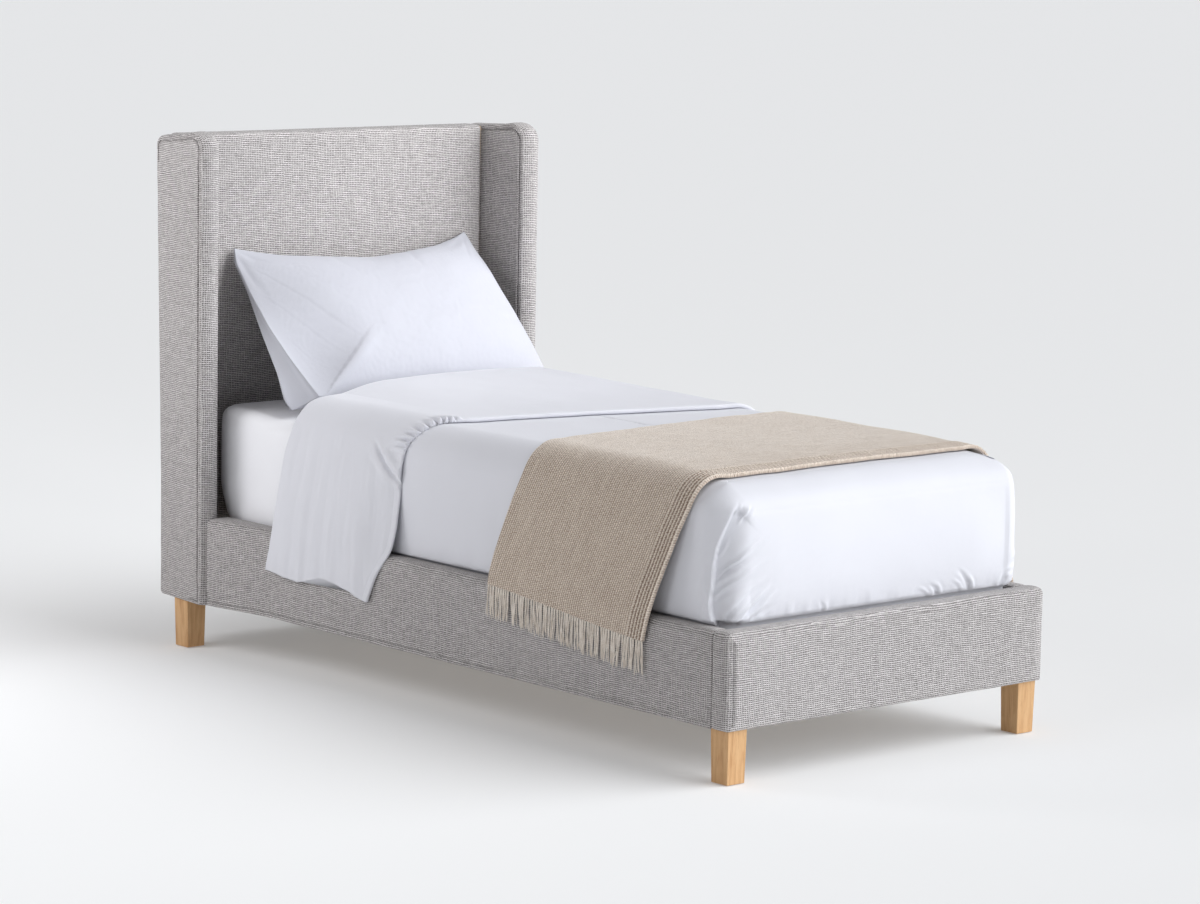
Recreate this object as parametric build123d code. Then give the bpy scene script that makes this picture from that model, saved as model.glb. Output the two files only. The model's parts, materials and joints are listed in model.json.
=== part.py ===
from build123d import *
import os

os.makedirs("parts", exist_ok=True)

# Upholstered single bed with a winged headboard, made up with its bedding.
# Millimetres. +Z up, X across the bed, Y along it: foot end at -Y, headboard at +Y.
# Origin on the floor under the middle of the plan.

# ---- driving dimensions -------------------------------------------------------------
RAIL_W = 1010.0        # outside width over the side rails and the foot panel
LENGTH = 2145.0        # foot panel's outer face to the back of the headboard
WING_OUT = 33.0        # a wing stands this far outside the rail
LEG_H = 125.0          # floor to the underside of the upholstery
RAIL_TOP = 346.0       # top of rails and foot panel
HEAD_TOP = 1309.0      # top of the headboard's middle panel
WING_TOP = 1318.0      # top of the wings
WING_D = 211.0         # wing, front to back
HEAD_T = 70.0          # headboard thickness
WING_T = 48.5          # wing thickness
RAIL_T = 48.0          # side rail thickness
FOOT_T = 55.0          # foot panel thickness
COVER = 2.0            # woven cover
BACK_COVER = 2.0       # cover panel on the headboard's back

LEG_TOP = 58.0         # leg section under the frame
LEG_BOTTOM = 53.0      # leg section at the floor
GLIDE_D, GLIDE_T, GLIDE_OUT = 36.0, 5.0, 2.0

MATTRESS = (897.0, 1996.0, 288.0)   # a 90 x 200 cm mattress
SLAT = (906.0, 70.0, 18.0)
SLAT_N = 14
SLAT_TOP = 320.0
LEDGE = (30.0, 42.0)

BOLT_R, BOLT_HEAD_R, BOLT_HEAD_T = 4.0, 6.5, 5.0
INSERT_R, INSERT_L = 6.0, 22.0
GAP_R = 0.15           # round a bolt or an insert in its hole

# ---- derived places -----------------------------------------------------------------
XR = RAIL_W / 2                      # 505 outer face of a rail
XRI = XR - RAIL_T                    # 457 inner face of a rail
XW = XR + WING_OUT                   # 538 outer face of a wing
XWI = XW - WING_T                    # 489.5 inner face of a wing
YF = -LENGTH / 2                     # foot panel's outer face
YFI = YF + FOOT_T                    # foot panel's inner face
YB = LENGTH / 2                      # back of the headboard
YBC = YB - BACK_COVER                # back of the wings
YH = YB - HEAD_T                     # headboard's front face
YW = YB - WING_D                     # wing's front face
Z0 = LEG_H

parts = {}


def box(x0, x1, y0, y1, z0, z1):
    return Pos((x0 + x1) / 2, (y0 + y1) / 2, (z0 + z1) / 2) * Box(abs(x1 - x0), abs(y1 - y0), abs(z1 - z0))


def flip(shape):
    return mirror(shape, about=Plane.YZ)


def rod(axis, a, b, c, start, end, r):
    """A round bar along an axis; a, b are its place on the other two axes in X, Y, Z order."""
    n = abs(end - start)
    m = (start + end) / 2
    if axis == "X":
        return Pos(m, a, b) * Rot(0, 90, 0) * Cylinder(r, n)
    if axis == "Y":
        return Pos(a, m, b) * Rot(90, 0, 0) * Cylinder(r, n)
    return Pos(a, b, m) * Cylinder(r, n)


def near(value, target, tol=0.6):
    return abs(value - target) < tol


def edges_at(shape, axis=None, x=None, y=None, z=None):
    found = shape.edges()
    if axis is not None:
        found = found.filter_by(axis)
    out = []
    for e in found:
        c = e.center(CenterOf.BOUNDING_BOX)
        if x is not None and not near(c.X, x):
            continue
        if y is not None and not near(c.Y, y):
            continue
        if z is not None and not near(c.Z, z):
            continue
        out.append(e)
    return out


def rim(shape, face_axis, at, keep):
    """The edges that lie in one end face, those that the test keeps."""
    out = []
    for e in shape.edges():
        b = e.bounding_box()
        lo, hi = getattr(b.min, face_axis), getattr(b.max, face_axis)
        if near(lo, at, 0.05) and near(hi, at, 0.05) and keep(e.center(CenterOf.BOUNDING_BOX)):
            out.append(e)
    return out


def group(solids):
    return Compound(children=[s.solid() if not isinstance(s, Solid) else s for s in solids])


# ---- fasteners: made first, since the timber is drilled for them -------------------------------
def bolt(axis, a, b, head, tip):
    """Hexagon-headed bolt; head is the plane under its head, tip the end of its thread."""
    s = 1 if tip > head else -1
    shank = rod(axis, a, b, 0, head, tip, BOLT_R)
    body = rod(axis, a, b, 0, head - s * BOLT_HEAD_T, head, BOLT_HEAD_R)
    return shank + body


def insert(axis, a, b, start, end):
    return rod(axis, a, b, 0, start, end, INSERT_R) - rod(axis, a, b, 0, min(start, end) - 1, max(start, end) + 1, BOLT_R + GAP_R)


PLATE_T = 4.0
wing_board_x = (XWI + 6, XW - 17)      # 495.5 .. 521
rail_board_x = (XRI + 4, XR - 16)      # 461 .. 489
foot_board_y = (YF + 16, YFI - 4)      # -1056.5 .. -1021.5
stile_x = (XWI - 60, XWI)
batten_y = (YBC - 32, YBC - 2)         # battens behind the face board

wing_bolt_z = (300.0, 700.0, 1100.0)
wing_bolt_y = (batten_y[0] + batten_y[1]) / 2
head_rail_bolt_y = (770.0, 815.0)
head_wing_bolt_y = (895.0, 940.0)
plate_z = (165.0, 245.0)
bolt_z = 205.0
foot_rail_bolt_y = (-985.0, -945.0)
foot_foot_bolt_x = (400.0, 436.0)

front_leg = (XR - 15 - LEG_BOTTOM / 2, YF + 13 + LEG_BOTTOM / 2)
rear_leg = (XW - 36.0, YW + 81 + LEG_BOTTOM / 2)

wing_bolts, joining_bolts, inserts, holes = [], [], [], []
for z in wing_bolt_z:
    wing_bolts.append(bolt("X", wing_bolt_y, z, stile_x[0], wing_board_x[0] + 23))
    inserts.append(insert("X", wing_bolt_y, z, wing_board_x[0], wing_board_x[0] + INSERT_L))
for y in head_rail_bolt_y + foot_rail_bolt_y:
    joining_bolts.append(bolt("X", y, bolt_z, XRI, XRI + 29))
    inserts.append(insert("X", y, bolt_z, rail_board_x[0], rail_board_x[0] + INSERT_L))
for y in head_wing_bolt_y:
    joining_bolts.append(bolt("X", y, bolt_z, XWI - PLATE_T, XWI - PLATE_T + 33))
    inserts.append(insert("X", y, bolt_z, wing_board_x[0], wing_board_x[0] + INSERT_L))
for x in foot_foot_bolt_x:
    joining_bolts.append(bolt("Y", x, bolt_z, YFI + PLATE_T, YFI + PLATE_T - 33))
    inserts.append(insert("Y", x, bolt_z, foot_board_y[1], foot_board_y[1] - INSERT_L))
hanger_bolts = []
for x, y in (front_leg, rear_leg):
    hanger_bolts.append(rod("Z", x, y, 0, Z0 - 38, Z0 + 42, BOLT_R))
    inserts.append(insert("Z", x, y, Z0 + COVER, Z0 + COVER + INSERT_L))


def drill(shape):
    """Clearance for every bolt and insert on the right-hand side."""
    g = GAP_R
    for z in wing_bolt_z:
        shape = shape - rod("X", wing_bolt_y, z, 0, stile_x[0] - 6, wing_board_x[0] + 24, BOLT_R + g)
        shape = shape - rod("X", wing_bolt_y, z, 0, wing_board_x[0] - 0.2, wing_board_x[0] + INSERT_L + 0.3, INSERT_R + g)
    for y in head_rail_bolt_y + foot_rail_bolt_y:
        shape = shape - rod("X", y, bolt_z, 0, XRI - 1, XRI + 30, BOLT_R + g)
        shape = shape - rod("X", y, bolt_z, 0, rail_board_x[0] - 0.01, rail_board_x[0] + INSERT_L + 0.3, INSERT_R + g)
    for y in head_wing_bolt_y:
        shape = shape - rod("X", y, bolt_z, 0, XWI - 5, XWI - PLATE_T + 34, BOLT_R + g)
        shape = shape - rod("X", y, bolt_z, 0, wing_board_x[0] - 0.01, wing_board_x[0] + INSERT_L + 0.3, INSERT_R + g)
    for x in foot_foot_bolt_x:
        shape = shape - rod("Y", x, bolt_z, 0, YFI + PLATE_T + 1, YFI + PLATE_T - 34, BOLT_R + g)
        shape = shape - rod("Y", x, bolt_z, 0, foot_board_y[1] + 0.01, foot_board_y[1] - INSERT_L - 0.3, INSERT_R + g)
    for x, y in (front_leg, rear_leg):
        shape = shape - rod("Z", x, y, 0, Z0 - 39, Z0 + 43, BOLT_R + g)
        shape = shape - rod("Z", x, y, 0, Z0 + COVER - 0.01, Z0 + COVER + INSERT_L + 0.3, INSERT_R + g)
    return shape


# ---- wings -----------------------------------------------------------------------------
def wing_body(off, low, edge=True):
    s = box(XWI + off, XW - off, YW + off, YBC - off, low, WING_TOP - off)
    s = fillet(edges_at(s, Axis.X, y=YW + off, z=WING_TOP - off), 42 - off)
    s = fillet(edges_at(s, Axis.X, y=YBC - off, z=WING_TOP - off), 14 - off)
    if edge:
        for x in (XWI + off, XW - off):
            s = fillet(rim(s, "X", x, lambda c: c.Z > low + 0.5), 11 - off)
    return s


wing_cover = wing_body(0, Z0) - wing_body(COVER, Z0 - 5)
wing_board = box(*wing_board_x, YW + 20, YBC - 10, Z0 + COVER, WING_TOP - 38)
wing_board = fillet(edges_at(wing_board, Axis.X, y=YW + 20, z=WING_TOP - 38), 30)
wing_board = fillet(edges_at(wing_board, Axis.X, y=YBC - 10, z=WING_TOP - 38), 14)
wing_foam = wing_body(COVER, Z0 + COVER) - wing_board
wing_cover, wing_board, wing_foam = drill(wing_cover), drill(wing_board), drill(wing_foam)
for side, f in (("right", lambda s: s), ("left", flip)):
    parts[side + "_wing_cover"] = f(wing_cover)
    parts[side + "_wing_board"] = f(wing_board)
    parts[side + "_wing_foam"] = f(wing_foam)


# ---- headboard between the wings ------------------------------------------------------------
def head_body(off, low, x=XWI):
    s = box(-x, x, YH + off, YBC - off, low, HEAD_TOP - off)
    s = fillet(edges_at(s, Axis.X, y=YH + off, z=HEAD_TOP - off), 16 - off)
    s = fillet(edges_at(s, Axis.X, y=YBC - off, z=HEAD_TOP - off), 8 - off)
    return s


board_y = (batten_y[0] - 12, batten_y[0])
head_cover = head_body(0, Z0) - head_body(COVER, Z0 - 5) - box(-600, 600, YBC - COVER - 0.5, YBC + 1, Z0 - 5, HEAD_TOP - 60)
head_inner = box(-XWI - 1, XWI + 1, board_y[0], YBC + 5, Z0 - 5, HEAD_TOP - 12)
head_foam = head_body(COVER, Z0 + COVER) - head_inner
parts["headboard_cover"] = head_cover
parts["headboard_foam"] = head_foam
parts["headboard_board"] = box(-XWI, XWI, board_y[0], board_y[1], Z0 + COVER, HEAD_TOP - 12)
stile = drill(box(stile_x[0], stile_x[1], batten_y[0], batten_y[1], Z0 + COVER, HEAD_TOP - 12))
parts["headboard_stile_right"] = stile
parts["headboard_stile_left"] = flip(stile)
for name, z in (("top", HEAD_TOP - 12 - 60), ("middle", 600.0), ("bottom", Z0 + COVER)):
    parts["headboard_batten_" + name] = box(-stile_x[0], stile_x[0], batten_y[0], batten_y[1], z, z + 60)
back = box(-XW + 13, XW - 13, YBC, YB, Z0 + 8, HEAD_TOP - 14)
back = fillet(edges_at(back, Axis.Y, z=HEAD_TOP - 14), 12)
parts["headboard_back_cover"] = back


# ---- side rails ---------------------------------------------------------------------------------
YRE = YW - 0.5         # head end of a rail, against the wing


def rail_body(off, low, edge=True):
    s = box(XRI + off, XR - off, YFI, YRE - off, low, RAIL_TOP - off)
    s = fillet(edges_at(s, Axis.X, y=YRE - off, z=RAIL_TOP - off), 18 - off)
    if edge:
        keep = lambda c: c.Z > low + 0.5 and c.Y > YFI + 0.5
        s = fillet(rim(s, "X", XR - off, keep), 13 - off)
        s = fillet(rim(s, "X", XRI + off, keep), 8 - off)
    return s


open_side = box(XRI - 1, rail_board_x[0], YFI - 1, YRE + 1, Z0 - 6, 304.0)
rail_cover = rail_body(0, Z0) - rail_body(COVER, Z0 + COVER) - open_side
rail_cover = rail_cover - box(XRI - 1, XR - 25, YFI - 1, YRE + 1, Z0 - 1, Z0 + COVER + 0.01)
rail_board = box(rail_board_x[0], rail_board_x[1], YFI, YRE - 7, Z0 + COVER, RAIL_TOP - 12)
rail_foam = rail_body(COVER, Z0 + COVER) - rail_board - open_side
screw_y = (-880.0, -440.0, 0.0, 360.0, 710.0)
ledge_z = (SLAT_TOP - SLAT[2] - LEDGE[1], SLAT_TOP - SLAT[2])
ledge_screws = []
for y in screw_y:
    ledge_screws.append(rod("X", y, ledge_z[0] + 21, 0, rail_board_x[0] - LEDGE[0], rail_board_x[0] + 22, 2.5)
                        + rod("X", y, ledge_z[0] + 21, 0, rail_board_x[0] - LEDGE[0] - 2.5, rail_board_x[0] - LEDGE[0], 4.5))
    rail_board = rail_board - rod("X", y, ledge_z[0] + 21, 0, rail_board_x[0] - 1, rail_board_x[0] + 22.5, 2.6)
rail_board = drill(rail_board)
welt = box(XR, XR + 1.6, YFI, YRE - 13, Z0, Z0 + 12)
welt = fillet(rim(welt, "X", XR + 1.6, lambda c: True), 0.7)
for side, f in (("right", lambda s: s), ("left", flip)):
    parts[side + "_rail_cover"] = f(rail_cover)
    parts[side + "_rail_board"] = f(rail_board)
    parts[side + "_rail_foam"] = f(rail_foam)
    parts[side + "_rail_welt"] = f(welt)


# ---- foot panel ---------------------------------------------------------------------------------
def foot_body(off, low):
    s = box(-XR + off, XR - off, YF + off, YFI - off, low, RAIL_TOP - off)
    s = fillet(edges_at(s, Axis.Y, x=XR - off, z=RAIL_TOP - off) + edges_at(s, Axis.Y, x=-XR + off, z=RAIL_TOP - off), 16 - off)
    s = fillet(rim(s, "Y", YF + off, lambda c: c.Z > low + 0.5), 15 - off)
    s = fillet(rim(s, "Y", YFI - off, lambda c: c.Z > low + 0.5 + 100 and abs(c.X) < XR - off - 4), 7 - off)
    return s


foot_cover = foot_body(0, Z0) - foot_body(COVER, Z0 + COVER) - box(-XR + 30, XR - 30, YF + 30, YFI - 0.01, Z0 - 1, Z0 + COVER + 0.01)
foot_board = box(-XR + 16, XR - 16, foot_board_y[0], foot_board_y[1], Z0 + COVER, RAIL_TOP - 12)
foot_foam = foot_body(COVER, Z0 + COVER) - foot_board
foot_cover, foot_board, foot_foam = (drill(flip(drill(s))) for s in (foot_cover, foot_board, foot_foam))
parts["foot_cover"] = foot_cover
parts["foot_board"] = foot_board
parts["foot_foam"] = foot_foam


# ---- joining hardware -----------------------------------------------------------------------------
def sheet_xy(points, z0, z1):
    return extrude(Plane.XY.offset(z0) * make_face(Polyline(*points, close=True)), amount=z1 - z0)


t = PLATE_T
head_plate = sheet_xy([(XRI + t, 745), (XRI + t, YW + 3), (XWI, YW + 24), (XWI, 965),
                       (XWI - t, 965), (XWI - t, YW + 25.5), (XRI, YW + 4.5), (XRI, 745)], *plate_z)
foot_bracket = sheet_xy([(XRI + t, YFI), (XRI + t, YFI + 100), (XRI, YFI + 100), (XRI, YFI + t),
                         (375, YFI + t), (375, YFI)], *plate_z)
for y in head_rail_bolt_y:
    head_plate = head_plate - rod("X", y, bolt_z, 0, XRI - 1, XRI + 6, BOLT_R + GAP_R)
for y in head_wing_bolt_y:
    head_plate = head_plate - rod("X", y, bolt_z, 0, XWI - 6, XWI + 1, BOLT_R + GAP_R)
for y in foot_rail_bolt_y:
    foot_bracket = foot_bracket - rod("X", y, bolt_z, 0, XRI - 1, XRI + 6, BOLT_R + GAP_R)
for x in foot_foot_bolt_x:
    foot_bracket = foot_bracket - rod("Y", x, bolt_z, 0, YFI - 1, YFI + 6, BOLT_R + GAP_R)
parts["head_joining_plates"] = group([head_plate, flip(head_plate)])
parts["foot_corner_brackets"] = group([foot_bracket, flip(foot_bracket)])
parts["joining_bolts"] = group(joining_bolts + [flip(b) for b in joining_bolts])
parts["wing_bolts"] = group(wing_bolts + [flip(b) for b in wing_bolts])
parts["threaded_inserts"] = group(inserts + [flip(b) for b in inserts])
parts["leg_hanger_bolts"] = group(hanger_bolts + [flip(b) for b in hanger_bolts])


# ---- slatted base -----------------------------------------------------------------------------------
slat_y = [-955.0 + i * (1900.0 / (SLAT_N - 1)) for i in range(SLAT_N)]
ledge = box(rail_board_x[0] - LEDGE[0], rail_board_x[0], YFI + 8, 838.0, ledge_z[0], ledge_z[1])
for y in screw_y:
    ledge = ledge - rod("X", y, ledge_z[0] + 21, 0, rail_board_x[0] - LEDGE[0] - 1, rail_board_x[0] + 1, 2.6)
slat_screw_x = 444.0
slat_screws = []
for y in (slat_y[0], slat_y[-2]):
    ledge = ledge - rod("Z", slat_screw_x, y, 0, ledge_z[1] - 22, ledge_z[1] + 1, 2.1)
    slat_screws.append(rod("Z", slat_screw_x, y, 0, ledge_z[1] - 20, SLAT_TOP, 2.0))
parts["slat_ledge_right"] = ledge
parts["slat_ledge_left"] = flip(ledge)
parts["ledge_screws"] = group(ledge_screws + [flip(s) for s in ledge_screws])
slats = []
for i, y in enumerate(slat_y):
    s = box(-SLAT[0] / 2, SLAT[0] / 2, y - SLAT[1] / 2, y + SLAT[1] / 2, SLAT_TOP - SLAT[2], SLAT_TOP)
    s = fillet(edges_at(s, Axis.X), 3)
    if i in (0, SLAT_N - 2):
        for x in (-slat_screw_x, slat_screw_x):
            s = s - rod("Z", x, y, 0, SLAT_TOP - SLAT[2] - 1, SLAT_TOP + 1, 2.1)
    slats.append(s)
parts["slats"] = group(slats)
parts["slat_screws"] = group(slat_screws + [flip(s) for s in slat_screws])
# the last slat lies beyond the ledges, on two hardwood cleats under the headboard end
cleat = box(XWI - 62, XWI, 880.0, 990.0, ledge_z[0], ledge_z[1])
strap = box(237.5, 262.5, slat_y[0] - 35, slat_y[-1] + 35, SLAT_TOP, SLAT_TOP + 1)
parts["slat_straps"] = group([strap, flip(strap)])
parts["head_cleats"] = group([cleat, flip(cleat)])


# ---- legs --------------------------------------------------------------------------------------------
def leg(cx, cy):
    low = Plane.XY.offset(GLIDE_OUT) * Pos(cx, cy) * RectangleRounded(LEG_BOTTOM, LEG_BOTTOM, 2.0)
    high = Plane.XY.offset(Z0) * Pos(cx, cy) * RectangleRounded(LEG_TOP, LEG_TOP, 2.0)
    s = loft([low, high])
    s = s - rod("Z", cx, cy, 0, Z0 - 39, Z0 + 1, BOLT_R + GAP_R)
    return s - rod("Z", cx, cy, 0, GLIDE_OUT - 1, GLIDE_T, GLIDE_D / 2 + 0.1)


glides = []
for name, (x, y) in (("front", front_leg), ("rear", rear_leg)):
    s = leg(x, y)
    parts[name + "_right_leg"] = s
    parts[name + "_left_leg"] = flip(s)
    g = rod("Z", x, y, 0, 0, GLIDE_T, GLIDE_D / 2)
    g = fillet(g.edges().sort_by(Axis.Z)[0], 0.8)
    glides += [g, flip(g)]
parts["leg_glides"] = group(glides)


# ---- mattress and fitted sheet ---------------------------------------------------------------------------
MX = MATTRESS[0] / 2
MY0 = -1003.0
MY1 = MY0 + MATTRESS[1]
MZ0 = SLAT_TOP + 2.0
MZ1 = MZ0 + MATTRESS[2]            # 610


def mattress_body(off, bottom=True):
    s = box(-MX - off, MX + off, MY0 - off, MY1 + off, MZ0 - (off if bottom else 0), MZ1 + off)
    s = fillet(s.edges().filter_by(Axis.Z), 45 + off)
    s = fillet(rim(s, "Z", MZ1 + off, lambda c: True), 28 + off)
    s = fillet(rim(s, "Z", MZ0 - (off if bottom else 0), lambda c: True), 24 + off)
    return s


mattress = mattress_body(0)
sheet = mattress_body(1.5) - mattress - box(-600, 600, -1200, 1200, 0, MZ0 + 12)
parts["mattress"] = mattress
parts["fitted_sheet"] = sheet

# ---- duvet, turned back at the head and tucked between mattress and rails --------------------------------
DX = 471.0              # half width over the mattress sides, above the rail
DZ = 672.0              # top
DY0, DY1 = -1019.0, 612.0
SIDE_LOW = RAIL_TOP + 3
duvet = box(-DX, DX, DY0, DY1, SIDE_LOW, DZ)
duvet = fillet(edges_at(duvet, Axis.Z, y=DY0), 60)
duvet = fillet(rim(duvet, "Z", DZ, lambda c: c.Y < DY1 - 1), 42)
duvet = duvet + box(-XRI + 0.8, XRI - 0.8, YFI + 0.8, DY1 - 200, MZ0 + 1, SIDE_LOW + 5)


def sheet_xz(points, y0, y1):
    return Pos(0, y0, 0) * extrude(Plane.XZ * make_face(Polyline(*points, close=True)), amount=-(y1 - y0))


cuff = sheet_xz([(-400, 620), (-400, 700), (400, 700), (400, 620)], 150, DY1 - 2)
flap_left = sheet_xz([(-395, 640), (-395, 700), (-440, 696), (-482, 668), (-508, 600), (-519, 480), (-519, 237), (-509.5, 237),
                      (-509.5, SIDE_LOW), (-460, SIDE_LOW)], 258, 655)
flap_right = sheet_xz([(395, 640), (395, 700), (440, 696), (480, 668), (500, 600), (505, 480), (460, 480)], 200, 600)
duvet = duvet + cuff + flap_left + flap_right
inner = box(-MX - 2.3, MX + 2.3, MY0 - 2.3, MY1 + 50, 200, MZ1 + 3)
inner = fillet(edges_at(inner, Axis.Z, y=MY0 - 2.3), 44)
inner = fillet(edges_at(inner, Axis.Y, z=MZ1 + 3) + edges_at(inner, Axis.X, y=MY0 - 2.3, z=MZ1 + 3), 24)
duvet = duvet - inner
parts["duvet"] = duvet

# ---- throw, laid across near the foot, with fringed ends --------------------------------------------------------
TZ = DZ + 2.0
half = [(429, TZ), (452, TZ - 4.5), (467, TZ - 19), (474, TZ - 39), (484, 600), (510, 400), (510, 285), (518.5, 285),
        (518.5, 402), (492, 603), (482, TZ - 36), (473, TZ - 14), (455, TZ + 3.5), (430, TZ + 8)]
profile = half + [(-x, z) for x, z in reversed(half)]
throw = sheet_xz(profile, -1000, -200)


def mask_yz(points, x0, x1):
    return Pos(x0, 0, 0) * extrude(Plane.YZ * make_face(Polyline(*points, close=True)), amount=x1 - x0)


near_mask = mask_yz([(-905, 720), (-300, 720), (-300, 655), (-232, 285), (-232, 200), (-800, 200), (-800, 285), (-905, 655)], -600, 0)
far_mask = mask_yz([(-905, 720), (-300, 720), (-300, 655), (-360, 285), (-360, 200), (-965, 200), (-965, 285), (-905, 655)], 0, 600)
throw = (throw & near_mask) + (throw & far_mask)
parts["throw"] = throw
fringe_left = mask_yz([(-800, 284.9), (-232, 284.9), (-220, 208), (-790, 208)], -517.5, -511.5)
fringe_right = mask_yz([(-965, 284.9), (-360, 284.9), (-372, 208), (-975, 208)], 511.5, 517.5)
parts["throw_fringe_left"] = fringe_left
parts["throw_fringe_right"] = fringe_right

# ---- pillow, leaning on the headboard -------------------------------------------------------------------------------
PILLOW = (760.0, 140.0, 490.0)
pillow = Box(*PILLOW)
pillow = fillet(pillow.edges().filter_by(Axis.Y), 60)
pillow = fillet(pillow.edges().filter_by(GeomType.LINE).filter_by(Axis.X) + pillow.edges().filter_by(GeomType.LINE).filter_by(Axis.Z)
                + pillow.edges().filter_by(GeomType.CIRCLE), 55)
pillow = Pos(-8, 815, 834) * Rot(-38, 0, 0) * pillow
parts["pillow"] = pillow


for name, shape in parts.items():
    solids = shape.solids()
    if len(solids) == 1:
        shape = solids[0]
    export_step(shape, f"parts/{name}.step")
print(len(parts), "nodes")
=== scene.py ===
import json
import math

import bmesh
import bpy
import numpy as np
from mathutils import Matrix, Vector
from mathutils.bvhtree import BVHTree

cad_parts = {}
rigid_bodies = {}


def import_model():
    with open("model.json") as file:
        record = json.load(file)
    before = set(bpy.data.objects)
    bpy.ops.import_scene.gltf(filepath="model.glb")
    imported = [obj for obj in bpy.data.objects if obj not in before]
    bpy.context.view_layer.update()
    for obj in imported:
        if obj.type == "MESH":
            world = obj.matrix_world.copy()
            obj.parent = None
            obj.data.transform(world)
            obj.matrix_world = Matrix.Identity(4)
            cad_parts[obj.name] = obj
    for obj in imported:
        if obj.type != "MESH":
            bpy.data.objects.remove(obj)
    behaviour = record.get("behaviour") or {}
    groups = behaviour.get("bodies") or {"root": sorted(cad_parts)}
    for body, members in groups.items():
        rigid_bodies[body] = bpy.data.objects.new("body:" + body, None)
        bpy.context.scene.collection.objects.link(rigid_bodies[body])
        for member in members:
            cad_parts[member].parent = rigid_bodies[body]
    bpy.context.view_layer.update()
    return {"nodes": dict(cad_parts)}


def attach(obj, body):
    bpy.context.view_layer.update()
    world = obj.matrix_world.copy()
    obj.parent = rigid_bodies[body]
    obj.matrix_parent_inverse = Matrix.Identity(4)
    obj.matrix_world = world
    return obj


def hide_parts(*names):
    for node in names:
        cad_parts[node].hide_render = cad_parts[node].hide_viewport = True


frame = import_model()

NODES = frame["nodes"]

# ------------------------------------------------------------------ sizes, metres
XW, XWI = 0.525, 0.478          # wings: outer and inner face
YW, YB = 0.8475, 1.0705         # wings: front and back
ZB = 0.125                      # underside of the upholstery
WING_TOP, HEAD_TOP = 1.328, 1.310
YH = 1.0025                     # front of the headboard
XR, XRI = 0.505, 0.457          # rails: outer and inner face
RAIL_TOP = 0.346
YF, YFI = -1.0725, -1.0175      # foot panel: outer and inner face

# ------------------------------------------------------------------ the view, in which fold lines are sketched
AZ, EL, ROLL = -0.7152487568951098, 0.14632381330785119, 0.017950868151555287
DIST, TARGET, FOCAL = 11.137574532225958, Vector((0.3816002684442477, 0.3937039723649817, 0.5)), 4307.164150900142
BACK = Vector((math.sin(AZ) * math.cos(EL), -math.cos(AZ) * math.cos(EL), math.sin(EL)))
_r = (-BACK).cross(Vector((0, 0, 1))).normalized()
_u = _r.cross(-BACK)
RIGHT = _r * math.cos(ROLL) + _u * math.sin(ROLL)
UP = _u * math.cos(ROLL) - _r * math.sin(ROLL)
EYE = TARGET + BACK * DIST


def seen(P, N=None):
    """Where points fall in the view, in 1/1200 of its width, and whether their surface faces the eye."""
    d = np.asarray(P, float) - np.array(EYE)
    w = -(d @ np.array(BACK))
    q = np.stack([600 + FOCAL * (d @ np.array(RIGHT)) / w, 452 - FOCAL * (d @ np.array(UP)) / w], -1)
    if N is None:
        return q
    return q, (-(d * N).sum(1) / np.linalg.norm(d, axis=1)) > 0.04


# ------------------------------------------------------------------ small tools


def sm(x, a=0.0, b=1.0):
    """Smooth step from 0 at a to 1 at b."""
    t = np.clip((np.asarray(x, float) - a) / (b - a), 0, 1)
    return t * t * (3 - 2 * t)


def gs(x, w):
    return np.exp(-((np.asarray(x, float) / w) ** 2))


def vnoise(P, seed=0):
    """Smooth value noise in -1..1 at points P (n, 3), one unit per cell."""
    P = np.asarray(P, float).reshape(-1, 3)
    i = np.floor(P).astype(np.int64)
    f = P - i
    f = f * f * f * (f * (f * 6 - 15) + 10)

    def h(dx, dy, dz):
        n = (i[:, 0] + dx) * 73856093 ^ (i[:, 1] + dy) * 19349663 ^ (i[:, 2] + dz) * 83492791 ^ (seed * 6542989 + 977)
        n = (n ^ (n >> 13)) * 1274126177 & 0x7FFFFFFF
        n = ((n ^ (n >> 15)) * 668265263) & 0x7FFFFFFF
        return ((n >> 7) & 0xFFFF) / 32767.5 - 1

    out = 0
    for dx in (0, 1):
        for dy in (0, 1):
            for dz in (0, 1):
                w = (f[:, 0] if dx else 1 - f[:, 0]) * (f[:, 1] if dy else 1 - f[:, 1]) * (f[:, 2] if dz else 1 - f[:, 2])
                out = out + w * h(dx, dy, dz)
    return out


def fbm(P, size, seed=0, octaves=3, gain=0.5):
    """Layered noise whose largest features are about size metres (a number or three)."""
    P = np.asarray(P, float).reshape(-1, 3) / np.asarray(size, float)
    out, amp, total = 0, 1.0, 0.0
    for k in range(octaves):
        out = out + amp * vnoise(P * 2**k + 17.3 * k, seed + 31 * k)
        total += amp
        amp *= gain
    return out / total


def to_line(P, line):
    """Distance of points (n, k) to a polyline, and the share along it of the nearest point."""
    P, line = np.asarray(P, float), np.asarray(line, float)
    seg = np.linalg.norm(np.diff(line, axis=0), axis=1)
    cum = np.concatenate([[0], np.cumsum(seg)])
    best, at = np.full(len(P), np.inf), np.zeros(len(P))
    for k in range(len(seg)):
        a, d = line[k], line[k + 1] - line[k]
        t = np.clip(((P - a) @ d) / (d @ d), 0, 1)
        r = np.linalg.norm(P - a - t[:, None] * d, axis=1)
        near = r < best
        best = np.where(near, r, best)
        at = np.where(near, (cum[k] + t * seg[k]) / cum[-1], at)
    return best, at


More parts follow.
